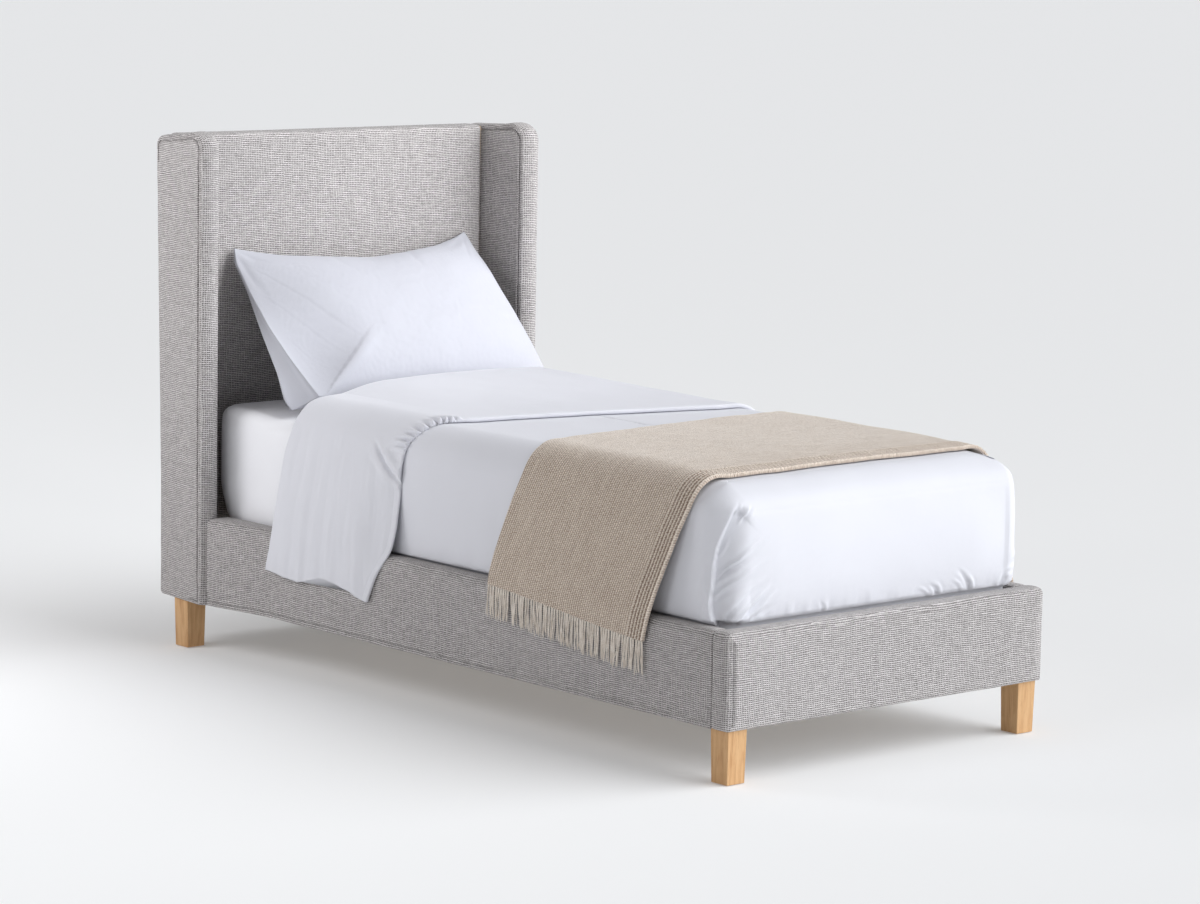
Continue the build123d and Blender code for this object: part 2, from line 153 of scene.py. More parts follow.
def strokes(q, lines, mask=None):
    """Sum of ridges and valleys sketched in the view: each (points, height, width, start, end); width and distance in view
    units, start and end how soon it fades at its ends."""
    out = np.zeros(len(q))
    for pts, amp, w, f0, f1 in lines:
        p = np.array(pts, float)
        lo, hi = p.min(0) - 4 * w - 1, p.max(0) + 4 * w + 1
        near = np.all((q > lo) & (q < hi), axis=1)
        if mask is not None:
            near &= mask
        if not near.any():
            continue
        d, at = to_line(q[near], p)
        t = (sm(at, 0, f0) if f0 else 1) * (sm(1 - at, 0, f1) if f1 else 1)
        out[near] += amp * t * (gs(d, w) - 0.35 * gs(d - 2.2 * w, 1.2 * w))
    return out


def make(name, V, F, mat, smooth=True, uv=None):
    """A mesh object from points and faces, doubles merged; uv has one (u, v) per point."""
    me = bpy.data.meshes.new(name)
    me.from_pydata(np.asarray(V, float).reshape(-1, 3).tolist(), [], [tuple(f) for f in F])
    if uv is not None:
        vi = np.zeros(len(me.loops), np.int32)
        me.loops.foreach_get("vertex_index", vi)
        me.uv_layers.new(name="weave").data.foreach_set("uv", np.asarray(uv, np.float32)[vi].ravel())
    bm = bmesh.new()
    bm.from_mesh(me)
    bmesh.ops.remove_doubles(bm, verts=bm.verts, dist=2e-6)
    bmesh.ops.dissolve_degenerate(bm, edges=bm.edges, dist=1e-6)
    bmesh.ops.recalc_face_normals(bm, faces=bm.faces)
    bm.to_mesh(me)
    bm.free()
    if smooth:
        me.polygons.foreach_set("use_smooth", [True] * len(me.polygons))
    ob = bpy.data.objects.new(name, me)
    bpy.context.scene.collection.objects.link(ob)
    for m in mat if isinstance(mat, (list, tuple)) else [mat]:
        me.materials.append(m)
    return ob


def quads(rows, cols, wrap_cols=False, wrap_rows=False, start=0, flip=False):
    r = np.arange(rows if wrap_rows else rows - 1)
    c = np.arange(cols if wrap_cols else cols - 1)
    R, C = np.meshgrid(r, c, indexing="ij")
    R2, C2 = (R + 1) % rows, (C + 1) % cols
    q = np.stack([R * cols + C, R * cols + C2, R2 * cols + C2, R2 * cols + C], -1).reshape(-1, 4) + start
    return (q[:, ::-1] if flip else q).tolist()


def coords(me):
    co = np.zeros(len(me.vertices) * 3, np.float32)
    me.vertices.foreach_get("co", co)
    return co.reshape(-1, 3).astype(float)


def box_uv(ob, name="weave", shift=(0.0, 0.0)):
    """A UV map in metres, each face laid on the plane that it faces."""
    me = ob.data
    n = len(me.polygons)
    nor = np.zeros(n * 3, np.float32)
    me.polygons.foreach_get("normal", nor)
    nor = nor.reshape(-1, 3)
    tot = np.zeros(n, np.int32)
    me.polygons.foreach_get("loop_total", tot)
    vi = np.zeros(len(me.loops), np.int32)
    me.loops.foreach_get("vertex_index", vi)
    co = coords(me)[vi]
    ax = np.repeat(np.abs(nor).argmax(1), tot)
    uv = np.where((ax == 0)[:, None], co[:, [1, 2]], np.where((ax == 1)[:, None], co[:, [0, 2]], co[:, [0, 1]]))
    layer = me.uv_layers.get(name) or me.uv_layers.new(name=name)
    layer.data.foreach_set("uv", (uv + np.array(shift)).astype(np.float32).ravel())


# ------------------------------------------------------------------ materials


class Tree:
    """A short way to write shader nodes."""

    def __init__(self, name):
        self.m = bpy.data.materials.new(name)
        self.m.use_nodes = True
        self.t = self.m.node_tree
        self.t.nodes.clear()
        self.out = self.t.nodes.new("ShaderNodeOutputMaterial")
        self.bsdf = self.t.nodes.new("ShaderNodeBsdfPrincipled")
        self.t.links.new(self.bsdf.outputs[0], self.out.inputs[0])

    def put(self, node, key, value):
        s = node.inputs[key]
        if isinstance(value, bpy.types.NodeSocket):
            self.t.links.new(value, s)
        elif value is not None:
            s.default_value = value

    def n(self, kind, ins=None, **props):
        node = self.t.nodes.new("ShaderNode" + kind)
        for k, v in props.items():
            setattr(node, k, v)
        for k, v in (ins or {}).items():
            self.put(node, k, v)
        return node

    def math(self, op, a, b=None, c=None, clamp=False):
        node = self.n("Math", {0: a, 1: b, 2: c}, operation=op, use_clamp=clamp)
        return node.outputs[0]

    def noise(self, vec, scale, detail=2.0, rough=0.5, dims="3D", distortion=0.0):
        return self.n("TexNoise", {"Vector": vec, "Scale": scale, "Detail": detail, "Roughness": rough, "Distortion": distortion}, noise_dimensions=dims).outputs["Fac"]

    def ramp(self, fac, stops, interp="LINEAR"):
        node = self.n("ValToRGB", {"Fac": fac})
        r = node.color_ramp
        r.interpolation = interp
        while len(r.elements) > 1:
            r.elements.remove(r.elements[-1])
        r.elements[0].position, r.elements[0].color = stops[0][0], (*stops[0][1], 1)
        for p, col in stops[1:]:
            e = r.elements.new(p)
            e.color = (*col, 1)
        return node.outputs["Color"]

    def mix(self, fac, a, b, mode="MIX"):
        node = self.n("Mix", {"Factor": fac, "A": None, "B": None}, data_type="RGBA", blend_type=mode)
        for idx, v in ((6, a), (7, b)):
            if isinstance(v, bpy.types.NodeSocket):
                self.t.links.new(v, node.inputs[idx])
            else:
                node.inputs[idx].default_value = (*v, 1) if len(v) == 3 else v
        return node.outputs[2]

    def span(self, v, a, b, c, d):
        return self.n("MapRange", {"Value": v, "From Min": a, "From Max": b, "To Min": c, "To Max": d}).outputs[0]

    def uv(self):
        return self.n("UVMap", uv_map="weave").outputs[0]

    def obj(self):
        return self.n("TexCoord").outputs["Object"]

    def xyz(self, vec):
        s = self.n("SeparateXYZ", {0: vec})
        return s.outputs[0], s.outputs[1], s.outputs[2]

    def vec(self, x=0.0, y=0.0, z=0.0):
        return self.n("CombineXYZ", {0: x, 1: y, 2: z}).outputs[0]

    def bump(self, height, dist, strength=1.0, normal=None):
        return self.n("Bump", {"Height": height, "Distance": dist, "Strength": strength, "Normal": normal}).outputs[0]

    def set(self, **kw):
        names = {"color": "Base Color", "rough": "Roughness", "metal": "Metallic", "normal": "Normal", "sheen": "Sheen Weight",
                 "sheen_rough": "Sheen Roughness", "sheen_tint": "Sheen Tint", "spec": "Specular IOR Level", "coat": "Coat Weight", "sss": "Subsurface Weight"}
        for k, v in kw.items():
            if k in ("color", "sheen_tint") and not isinstance(v, bpy.types.NodeSocket) and len(v) == 3:
                v = (*v, 1)
            self.put(self.bsdf, names[k], v)
        return self.m


def mat_tweed(name, dark, light, pu=0.0054, pv=0.0047):
    """Chunky plain weave of uneven, slubby yarns; the gaps between them are painted dark as shade and the yarn tops
    painted lighter.
    """
    t = Tree(name)
    uv = t.uv()
    u, v, _ = t.xyz(uv)
    w1 = t.noise(uv, 7.0, 2.0)
    w2 = t.noise(t.vec(t.math("MULTIPLY", u, 1.0), t.math("MULTIPLY", v, 2.6), 3.7), 34.0, 1.0)
    v2 = t.math("ADD", v, t.math("ADD", t.span(w1, 0, 1, -0.0055, 0.0055), t.span(w2, 0, 1, -0.0013, 0.0013)))
    w3 = t.noise(t.vec(u, v, 9.1), 9.0, 2.0)
    w4 = t.noise(t.vec(t.math("MULTIPLY", u, 2.2), v, 5.5), 30.0, 1.0)
    u2 = t.math("ADD", u, t.math("ADD", t.span(w3, 0, 1, -0.004, 0.004), t.span(w4, 0, 1, -0.0010, 0.0010)))
    U, V = t.math("MULTIPLY", u2, 1 / pu), t.math("MULTIPLY", v2, 1 / pv)
    fu, fv = t.math("FLOOR", U), t.math("FLOOR", V)
    cu = t.math("COSINE", t.math("MULTIPLY", t.math("SUBTRACT", t.math("SUBTRACT", U, fu), 0.5), 2 * math.pi))
    cv = t.math("COSINE", t.math("MULTIPLY", t.math("SUBTRACT", t.math("SUBTRACT", V, fv), 0.5), 2 * math.pi))
    pu_ = t.math("MULTIPLY_ADD", cu, 0.5, 0.5)
    pv_ = t.math("MULTIPLY_ADD", cv, 0.5, 0.5)
    # each yarn's own thickness and shade, changing slowly along it
    row = t.noise(t.vec(t.math("MULTIPLY", U, 0.30), t.math("MULTIPLY", fv, 7.31), 1.5), 1.0, 2.0, 0.6)
    col = t.noise(t.vec(t.math("MULTIPLY", fu, 5.17), t.math("MULTIPLY", V, 0.30), 4.5), 1.0, 2.0, 0.6)
    row = t.span(row, 0.28, 0.72, 0.66, 1.12)
    col = t.span(col, 0.28, 0.72, 0.38, 0.84)
    # which yarn lies on top at a crossing
    par = t.math("SUBTRACT", t.math("MULTIPLY", t.math("FRACT", t.math("MULTIPLY", t.math("ADD", fu, fv), 0.5)), 4.0), 1.0)
    hv = t.math("MULTIPLY", t.math("MULTIPLY", pv_, row), t.math("MULTIPLY_ADD", par, 0.09, 0.88))
    hu = t.math("MULTIPLY", t.math("MULTIPLY", pu_, col), t.math("MULTIPLY_ADD", par, -0.09, 0.88))
    h = t.math("MAXIMUM", hv, hu)
    fib = t.noise(t.vec(t.math("MULTIPLY", U, 2.0), t.math("MULTIPLY", V, 5.0), 0.0), 1.6, 3.0, 0.6)
    h2 = t.math("MULTIPLY", h, t.span(fib, 0.25, 0.75, 0.72, 1.22))
    shade = t.noise(uv, 2.2, 2.0)
    lo = tuple(x * 0.88 for x in light)
    # colour by yarn height: the yarns' own uneven tone, with painted shade darkest in the gaps between yarns and a
    # painted highlight on their tops
    c = t.ramp(t.span(h2, 0.15, 0.92, 0.0, 1.0), [(0.0, dark), (0.35, tuple((a * 0.52 + b * 0.48) for a, b in zip(dark, light))), (0.7, lo), (1.0, tuple(min(1, x * 1.18) for x in light))])
    c = t.mix(t.span(shade, 0.3, 0.7, 0.0, 0.10), c, tuple(x * 0.8 for x in light))
    nrm = t.bump(h2, 0.0017, 0.9)
    return t.set(color=c, rough=t.span(h2, 0, 1, 0.97, 0.82), normal=nrm, sheen=0.18, sheen_rough=0.55, spec=0.12)


def mat_white(name, color, weave=0.0011, wrinkle=0.0006, sheen=0.12, end=None):
    """Smooth, tight cotton: a fine weave, small soft puckers, a slight random change of tone, and, when end is given,
    painted shade towards one end.
    """
    t = Tree(name)
    p = t.obj()
    x, y, z = t.xyz(p)
    fine = t.math("MULTIPLY", t.math("SINE", t.math("MULTIPLY", t.math("ADD", x, z), 2 * math.pi / weave)), t.math("SINE", t.math("MULTIPLY", t.math("SUBTRACT", y, z), 2 * math.pi / weave)))
    soft = t.noise(p, 38.0, 3.0, 0.55, distortion=0.6)
    broad = t.noise(p, 5.0, 2.0)
    n1 = t.bump(soft, wrinkle, 0.55)
    n2 = t.bump(fine, 0.00008, 0.35, n1)
    c = t.mix(t.span(broad, 0.3, 0.7, 0.0, 1.0), color, tuple(a * 0.975 for a in color))
    if end:  # painted shade: the colour darkens towards one end, down to end[2] times its value, where the pillow lies in shade
        c = t.mix(t.span(x, end[0], end[1], 1.0, 0.0), c, tuple(a * end[2] for a in color))
    return t.set(color=c, rough=t.span(soft, 0.3, 0.7, 0.78, 0.86), normal=n2, sheen=sheen, sheen_rough=0.4, spec=0.25)


def mat_throw(name, dark, light, rib=0.0072):
    """Wool-like woven throw: ribs of mixed beige yarns that run along its length, painted lighter on their crests and
    darker between them, as highlight and shade.
    """
    t = Tree(name)
    uv = t.uv()
    u, v, _ = t.xyz(uv)
    U = t.math("MULTIPLY", u, 1 / rib)
    fu = t.math("FLOOR", U)
    # painted light and shade: the rib profile lightens the crests and darkens the hollows
    painted_rib_light = t.math("MULTIPLY_ADD", t.math("COSINE", t.math("MULTIPLY", t.math("SUBTRACT", t.math("SUBTRACT", U, fu), 0.5), 2 * math.pi)), 0.5, 0.5)
    knot = t.math("SINE", t.math("MULTIPLY", t.math("ADD", t.math("MULTIPLY", v, 1 / 0.0056), t.math("MULTIPLY", fu, 0.37)), 2 * math.pi))
    dots = t.noise(t.vec(t.math("MULTIPLY", u, 330.0), t.math("MULTIPLY", v, 210.0), 0.0), 1.0, 2.0, 0.6)
    fine = t.noise(t.vec(t.math("MULTIPLY", u, 900.0), t.math("MULTIPLY", v, 420.0), 3.0), 1.0, 2.0, 0.6)
    yarn = t.noise(t.vec(t.math("MULTIPLY", fu, 5.7), t.math("MULTIPLY", v, 16.0), 1.0), 1.0, 2.0, 0.6)
    h = t.math("ADD", t.math("MULTIPLY", dots, 0.75), t.math("ADD", t.math("MULTIPLY", fine, 0.35), t.math("MULTIPLY", knot, 0.10)))
    # the thicker ribs along both long edges, their crests painted lighter and the hollows between them painted darker,
    # as highlight and shade
    W = t.math("MULTIPLY", u, 1 / 0.0102)
    painted_cord_light = t.math("MULTIPLY_ADD", t.math("COSINE", t.math("MULTIPLY", t.math("SUBTRACT", t.math("FRACT", W), 0.5), 2 * math.pi)), 0.5, 0.5)
    edge = t.math("LESS_THAN", u, 0.0612)
    painted_rib_light = t.math("ADD", t.math("MULTIPLY", painted_rib_light, t.math("SUBTRACT", 1.0, edge)), t.math("MULTIPLY", t.math("MULTIPLY_ADD", painted_cord_light, 1.35, -0.30), edge))
    f = t.math("ADD", t.math("MULTIPLY", painted_rib_light, 0.20), t.math("ADD", t.math("MULTIPLY", h, 0.72), t.math("MULTIPLY", yarn, 0.16)))
    f = t.math("ADD", f, t.math("MULTIPLY", t.math("LESS_THAN", u, 0.0060), 0.16))  # painted highlight: the outermost cord is painted lighter where its rounded edge lies in shade
    c = t.ramp(f, [(0.42, dark), (0.62, tuple((a + b) / 2 for a, b in zip(dark, light))), (0.84, light)])
    nrm = t.bump(h, 0.0016, 0.9)
    return t.set(color=c, rough=0.92, normal=nrm, sheen=1.0, sheen_rough=0.35, sheen_tint=(1.0, 0.97, 0.93), spec=0.1)


def mat_yarn(name, dark, light):
    t = Tree(name)
    p = t.obj()
    a = t.noise(p, 420.0, 2.0, 0.6)
    b = t.noise(p, 60.0, 2.0)
    x, y, z = t.xyz(p)
    tw = t.math("SINE", t.math("MULTIPLY", t.math("ADD", z, t.math("MULTIPLY", y, 1.2)), 2 * math.pi / 0.0042))
    c = t.ramp(t.math("ADD", t.math("MULTIPLY", a, 0.6), t.math("MULTIPLY", b, 0.4)), [(0.3, dark), (0.7, light)])
    nrm = t.bump(t.math("ADD", t.math("MULTIPLY", tw, 0.4), a), 0.0009, 0.7)
    return t.set(color=c, rough=0.9, normal=nrm, sheen=0.4, sheen_rough=0.5, spec=0.1)


def mat_wood(name, dark, mid, light, axis=2, scale=1.0, rough=0.45):
    """Straight-grained wood along one axis (0 x, 1 y, 2 z), with rings, pores and a satin finish."""
    t = Tree(name)
    p = t.obj()
    x, y, z = t.xyz(p)
    g = [x, y, z]
    long = g.pop(axis)
    a, b = g
    slow = t.math("MULTIPLY", long, 0.10)
    bend = t.noise(t.vec(t.math("MULTIPLY", a, 1.0), t.math("MULTIPLY", b, 1.0), t.math("MULTIPLY", long, 0.35)), 9.0 * scale, 2.0)
    v = t.vec(t.math("ADD", a, t.math("MULTIPLY", bend, 0.02)), t.math("ADD", b, t.math("MULTIPLY", bend, 0.015)), slow)
    rings = t.noise(v, 95.0 * scale, 2.0, 0.55, distortion=0.8)
    streak = t.noise(t.vec(a, b, t.math("MULTIPLY", long, 0.02)), 520.0 * scale, 3.0, 0.6)
    pores = t.noise(t.vec(a, b, t.math("MULTIPLY", long, 0.045)), 1400.0 * scale, 1.0)
    f = t.math("ADD", t.math("MULTIPLY", rings, 0.75), t.math("MULTIPLY", streak, 0.25))
    c = t.ramp(f, [(0.30, dark), (0.46, mid), (0.60, light), (0.75, mid)])
    c = t.mix(t.span(pores, 0.62, 0.75, 0.0, 0.45), c, tuple(k * 0.62 for k in dark))
    h = t.math("ADD", t.math("MULTIPLY", streak, 0.6), t.math("MULTIPLY", pores, -0.4))
    nrm = t.bump(h, 0.0003, 0.5)
    return t.set(color=c, rough=t.span(streak, 0.3, 0.7, rough - 0.06, rough + 0.12), normal=nrm, spec=0.4)


def mat_steel(name):
    t = Tree(name)
    p = t.obj()
    a = t.noise(p, 160.0, 3.0)
    b = t.noise(t.vec(*[t.math("MULTIPLY", k, s) for k, s in zip(t.xyz(p), (900.0, 60.0, 900.0))]), 1.0, 2.0)
    c = t.ramp(a, [(0.3, (0.42, 0.42, 0.43)), (0.7, (0.62, 0.62, 0.63))])
    return t.set(color=c, metal=1.0, rough=t.span(b, 0.3, 0.7, 0.28, 0.48), normal=t.bump(b, 0.0001, 0.4))


def mat_plastic(name, color):
    t = Tree(name)
    p = t.obj()
    a = t.noise(p, 900.0, 2.0)
    c = t.mix(t.span(t.noise(p, 40.0, 2.0), 0.3, 0.7, 0.0, 1.0), color, tuple(k * 0.8 for k in color))
    return t.set(color=c, rough=t.span(a, 0.3, 0.7, 0.45, 0.62), normal=t.bump(a, 0.0001, 0.5))


def mat_plain_cloth(name, color, pitch=0.0016, rough=0.9):
    t = Tree(name)
    p = t.obj()
    x, y, z = t.xyz(p)
    s = 2 * math.pi / pitch
    a = t.math("SINE", t.math("MULTIPLY", t.math("ADD", x, y), s))
    b = t.math("SINE", t.math("MULTIPLY", t.math("ADD", z, y), s))
    h = t.math("MULTIPLY_ADD", t.math("MULTIPLY", a, b), 0.5, 0.5)
    c = t.mix(t.math("MULTIPLY", h, 0.6), tuple(k * 0.72 for k in color), color)
    c = t.mix(t.span(t.noise(p, 7.0, 3.0), 0.3, 0.7, 0.0, 0.4), c, tuple(k * 0.86 for k in color))
    return t.set(color=c, rough=rough, normal=t.bump(h, 0.0003, 0.6), sheen=0.1, spec=0.15)


M = {
    "tweed": mat_tweed("upholstery_tweed", (0.055, 0.047, 0.044), (0.715, 0.685, 0.682)),
    "white": mat_white("white_duvet_cover", (0.705, 0.712, 0.762)),
    # painted shade: the pillowcase's colour darkens towards its left end
    # painted shade: the pillowcase's white is set darker than the duvet cover's to offset the head lamp's light on it
    "pillow": mat_white("white_pillowcase_painted_shade", (0.540, 0.547, 0.601), end=(-0.34, -0.12, 0.88)),
    "sheet": mat_white("white_fitted_sheet", (0.86, 0.865, 0.90)),
    "throw": mat_throw("beige_throw", (0.26, 0.19, 0.14), (0.90, 0.80, 0.70)),
    "yarn": mat_yarn("fringe_yarn", (0.64, 0.55, 0.46), (0.99, 0.94, 0.87)),
    "leg": mat_wood("honey_wood", (0.44, 0.222, 0.085), (0.575, 0.335, 0.155), (0.635, 0.395, 0.197), axis=2, scale=1.0, rough=0.42),
    "timber_x": mat_wood("slat_wood", (0.46, 0.33, 0.19), (0.60, 0.46, 0.30), (0.68, 0.54, 0.37), axis=0, scale=0.8, rough=0.6),
    "timber_y": mat_wood("rail_wood", (0.44, 0.31, 0.18), (0.58, 0.44, 0.28), (0.66, 0.52, 0.35), axis=1, scale=0.8, rough=0.65),
    "timber_z": mat_wood("upright_wood", (0.44, 0.31, 0.18), (0.58, 0.44, 0.28), (0.66, 0.52, 0.35), axis=2, scale=0.8, rough=0.65),
    "steel": mat_steel("zinc_steel"),
    "plastic": mat_plastic("glide_plastic", (0.05, 0.045, 0.04)),
    "web": mat_plain_cloth("webbing", (0.62, 0.59, 0.52), 0.0024),
    "back": mat_tweed("back_panel_cloth", (0.12, 0.11, 0.105), (0.55, 0.525, 0.515)),
    "ticking": mat_plain_cloth("mattress_ticking", (0.74, 0.74, 0.76), 0.0020),
    "tape": mat_plain_cloth("mattress_tape", (0.60, 0.60, 0.63), 0.0030),
    "foam": mat_plain_cloth("foam", (0.72, 0.69, 0.58), 0.0040),
}

# ------------------------------------------------------------------ upholstered blocks


def ring(a0, a1, b0, b1, rad, d, na, m):
    """One inset ring of a rounded rectangle. d is the inset of every sample."""
    cs = [(a0, b0), (a1, b0), (a1, b1), (a0, b1)]
    ns = [((-1, 0), (0, -1)), ((0, -1), (1, 0)), ((1, 0), (0, 1)), ((0, 1), (-1, 0))]
    d = np.asarray(d, float)
    out, k = [], 0

    def place(i, n, dd):
        c = np.array(cs[i], float)
        s = np.array(ns[i][0], float) + np.array(ns[i][1], float)
        R = rad[i]
        dd = dd[:, None]
        return np.where(dd <= R, c - s * R + n * (R - dd), c - s * dd)

    for i in range(4):
        th = np.linspace(0, math.pi / 2, na + 1)[:, None]
        N = np.array(ns[i][0], float) * np.cos(th) + np.array(ns[i][1], float) * np.sin(th)
        out.append(place(i, N, d[k : k + na + 1]))
        k += na + 1
        t = (np.arange(1, m[i]) / m[i])[:, None]
        dd = d[k : k + m[i] - 1]
        j = (i + 1) % 4
        A = place(i, np.repeat([ns[i][1]], len(dd), 0).astype(float), dd)
        B = place(j, np.repeat([ns[j][0]], len(dd), 0).astype(float), dd)
        out.append(A + (B - A) * t)
        k += m[i] - 1
    return np.concatenate(out)


def ring_info(na, m, a0, a1, b0, b1, rad):
    """For each sample: its outward normal, and its edge weights (bottom, right, top, left)."""
    ns = [((-1, 0), (0, -1)), ((0, -1), (1, 0)), ((1, 0), (0, 1)), ((0, 1), (-1, 0))]
    nor, wts = [], []
    for i in range(4):
        th = np.linspace(0, math.pi / 2, na + 1)
        nor.append(np.array(ns[i][0], float) * np.cos(th)[:, None] + np.array(ns[i][1], float) * np.sin(th)[:, None])
        w = np.zeros((na + 1, 4))
        s = sm(th / (math.pi / 2))
        w[:, (i - 1) % 4] += 1 - s
        w[:, i] += s
        wts.append(w)
        nor.append(np.repeat([ns[i][1]], m[i] - 1, 0).astype(float))
        w = np.zeros((m[i] - 1, 4))
        w[:, i] = 1
        wts.append(w)
    return np.concatenate(nor), np.concatenate(wts)


def block(name, plane, a, b, w, rad, r0, r1, mat, step=0.014, fine0=(), fine1=(), shape=None, na=7, nr=5):
    """A closed padded block: a rounded rectangle in the (a, b) plane drawn out along w, its two faces' edges rounded
    by r0 and r1 (one number for each of bottom, right, top, left). fine0 and fine1 are insets where a face needs close
    rows for a seam. shape(tag, A, B, W, D, N) gives how far each point moves along its normal."""
    (a0, a1), (b0, b1), (w0, w1) = a, b, w
    m = [max(2, math.ceil((a1 - a0 - rad[0] - rad[1]) / step)), max(2, math.ceil((b1 - b0 - rad[1] - rad[2]) / step)),
         max(2, math.ceil((a1 - a0 - rad[2] - rad[3]) / step)), max(2, math.ceil((b1 - b0 - rad[3] - rad[0]) / step))]
    nor, wts = ring_info(na, m, a0, a1, b0, b1, rad)
    k = len(nor)
    half = min(a1 - a0, b1 - b0) / 2

    def rows(r, fine):
        rmax = max(r)
        base = list(np.arange(rmax, half - 0.003, step)) + [half - 0.0015]
        for f in fine:
            base = [x for x in base if abs(x - f) > 0.0065 or x == rmax]
            base += [f + o for o in (-0.006, -0.0042, -0.0028, -0.0016, -0.0007, 0, 0.0007, 0.0016, 0.0028, 0.0042, 0.006)]
        return np.array(sorted(x for x in set(base) if rmax <= x <= half))

    P2, W, D, tag, nw, nn = [], [], [], [], [], []

    def add(d, ww, tg, sw, sn):
        d = np.broadcast_to(np.asarray(d, float), (k,))
        P2.append(ring(a0, a1, b0, b1, rad, d, na, m))
        W.append(np.broadcast_to(np.asarray(ww, float), (k,)))
        D.append(d)
        tag.append(np.full(k, tg))
        nw.append(np.full(k, float(sw)))
        nn.append(np.full(k, float(sn)))

    rs0, rs1 = wts @ np.array(r0, float), wts @ np.array(r1, float)
    for d in rows(r0, fine0)[::-1]:
        add(d, w0, 0, -1, 0)
    for th in np.linspace(0, math.pi / 2, nr + 1):
        add(rs0 * (1 - math.sin(th)), w0 + rs0 * (1 - math.cos(th)), 2, -math.cos(th), math.sin(th))
    span = w1 - w0
    for s in np.linspace(0, 1, max(3, math.ceil(span / 0.008)))[1:-1]:
        add(0, w0 + rs0 + (span - rs0 - rs1) * s, 2, 0, 1)
    for th in np.linspace(math.pi / 2, 0, nr + 1):
        add(rs1 * (1 - math.sin(th)), w1 - rs1 * (1 - math.cos(th)), 2, math.cos(th), math.sin(th))
    for d in rows(r1, fine1):
        add(d, w1, 1, 1, 0)
    P2, W, D, tag, nw, nn = (np.array(v) for v in (P2, W, D, tag, nw, nn))
    R = len(P2)
    A, B = P2[..., 0], P2[..., 1]
    NA, NB = nor[None, :, 0] * nn, nor[None, :, 1] * nn
    if shape is not None:
        off = shape(tag.ravel(), A.ravel(), B.ravel(), W.ravel(), D.ravel(), np.stack([NA.ravel(), NB.ravel(), nw.ravel()], 1)).reshape(R, k)
        A, B, W = A + NA * off, B + NB * off, W + nw * off
    idx = {"a": A, "b": B, "w": W}
    V = np.stack([idx[c] for c in plane], -1).reshape(-1, 3)
    ob = make(name, V, quads(R, k, wrap_cols=True) + [tuple(range(k)), tuple(range((R - 1) * k, R * k))], mat)
    bm = bmesh.new()
    bm.from_mesh(ob.data)
    bmesh.ops.triangulate(bm, faces=[f for f in bm.faces if len(f.verts) > 4])
    bm.to_mesh(ob.data)
    bm.free()
    box_uv(ob)
    return ob


def win(t, lo, hi, p=4):
    x = np.abs(2 * (t - lo) / (hi - lo) - 1)
    return np.clip(1 - x**p, 0, 1)


def xyz(plane, A, B, W):
    idx = {"a": A, "b": B, "w": W}
    return np.stack([idx[c] for c in plane], -1)


FLARE = 0.026                    # how far the wings' front edges stand out from their backs
YWV = 0.8617                    # front edges of the wings as upholstered


def recline(V, front, fall=0.0085):
    """The head end's back leans out a little towards its top, and its top falls slightly to the right."""
    V[:, 1] += 0.023 * np.clip((V[:, 2] - 0.42) / 0.88, 0, 1.1) * np.clip((V[:, 1] - front) / (YB - front), 0, 1.1)
    V[:, 2] -= fall * np.clip((V[:, 0] + 0.50) / 1.02, 0, 1) * np.clip((V[:, 2] - 0.7) / (WING_TOP - 0.7), 0, 1)
    return V


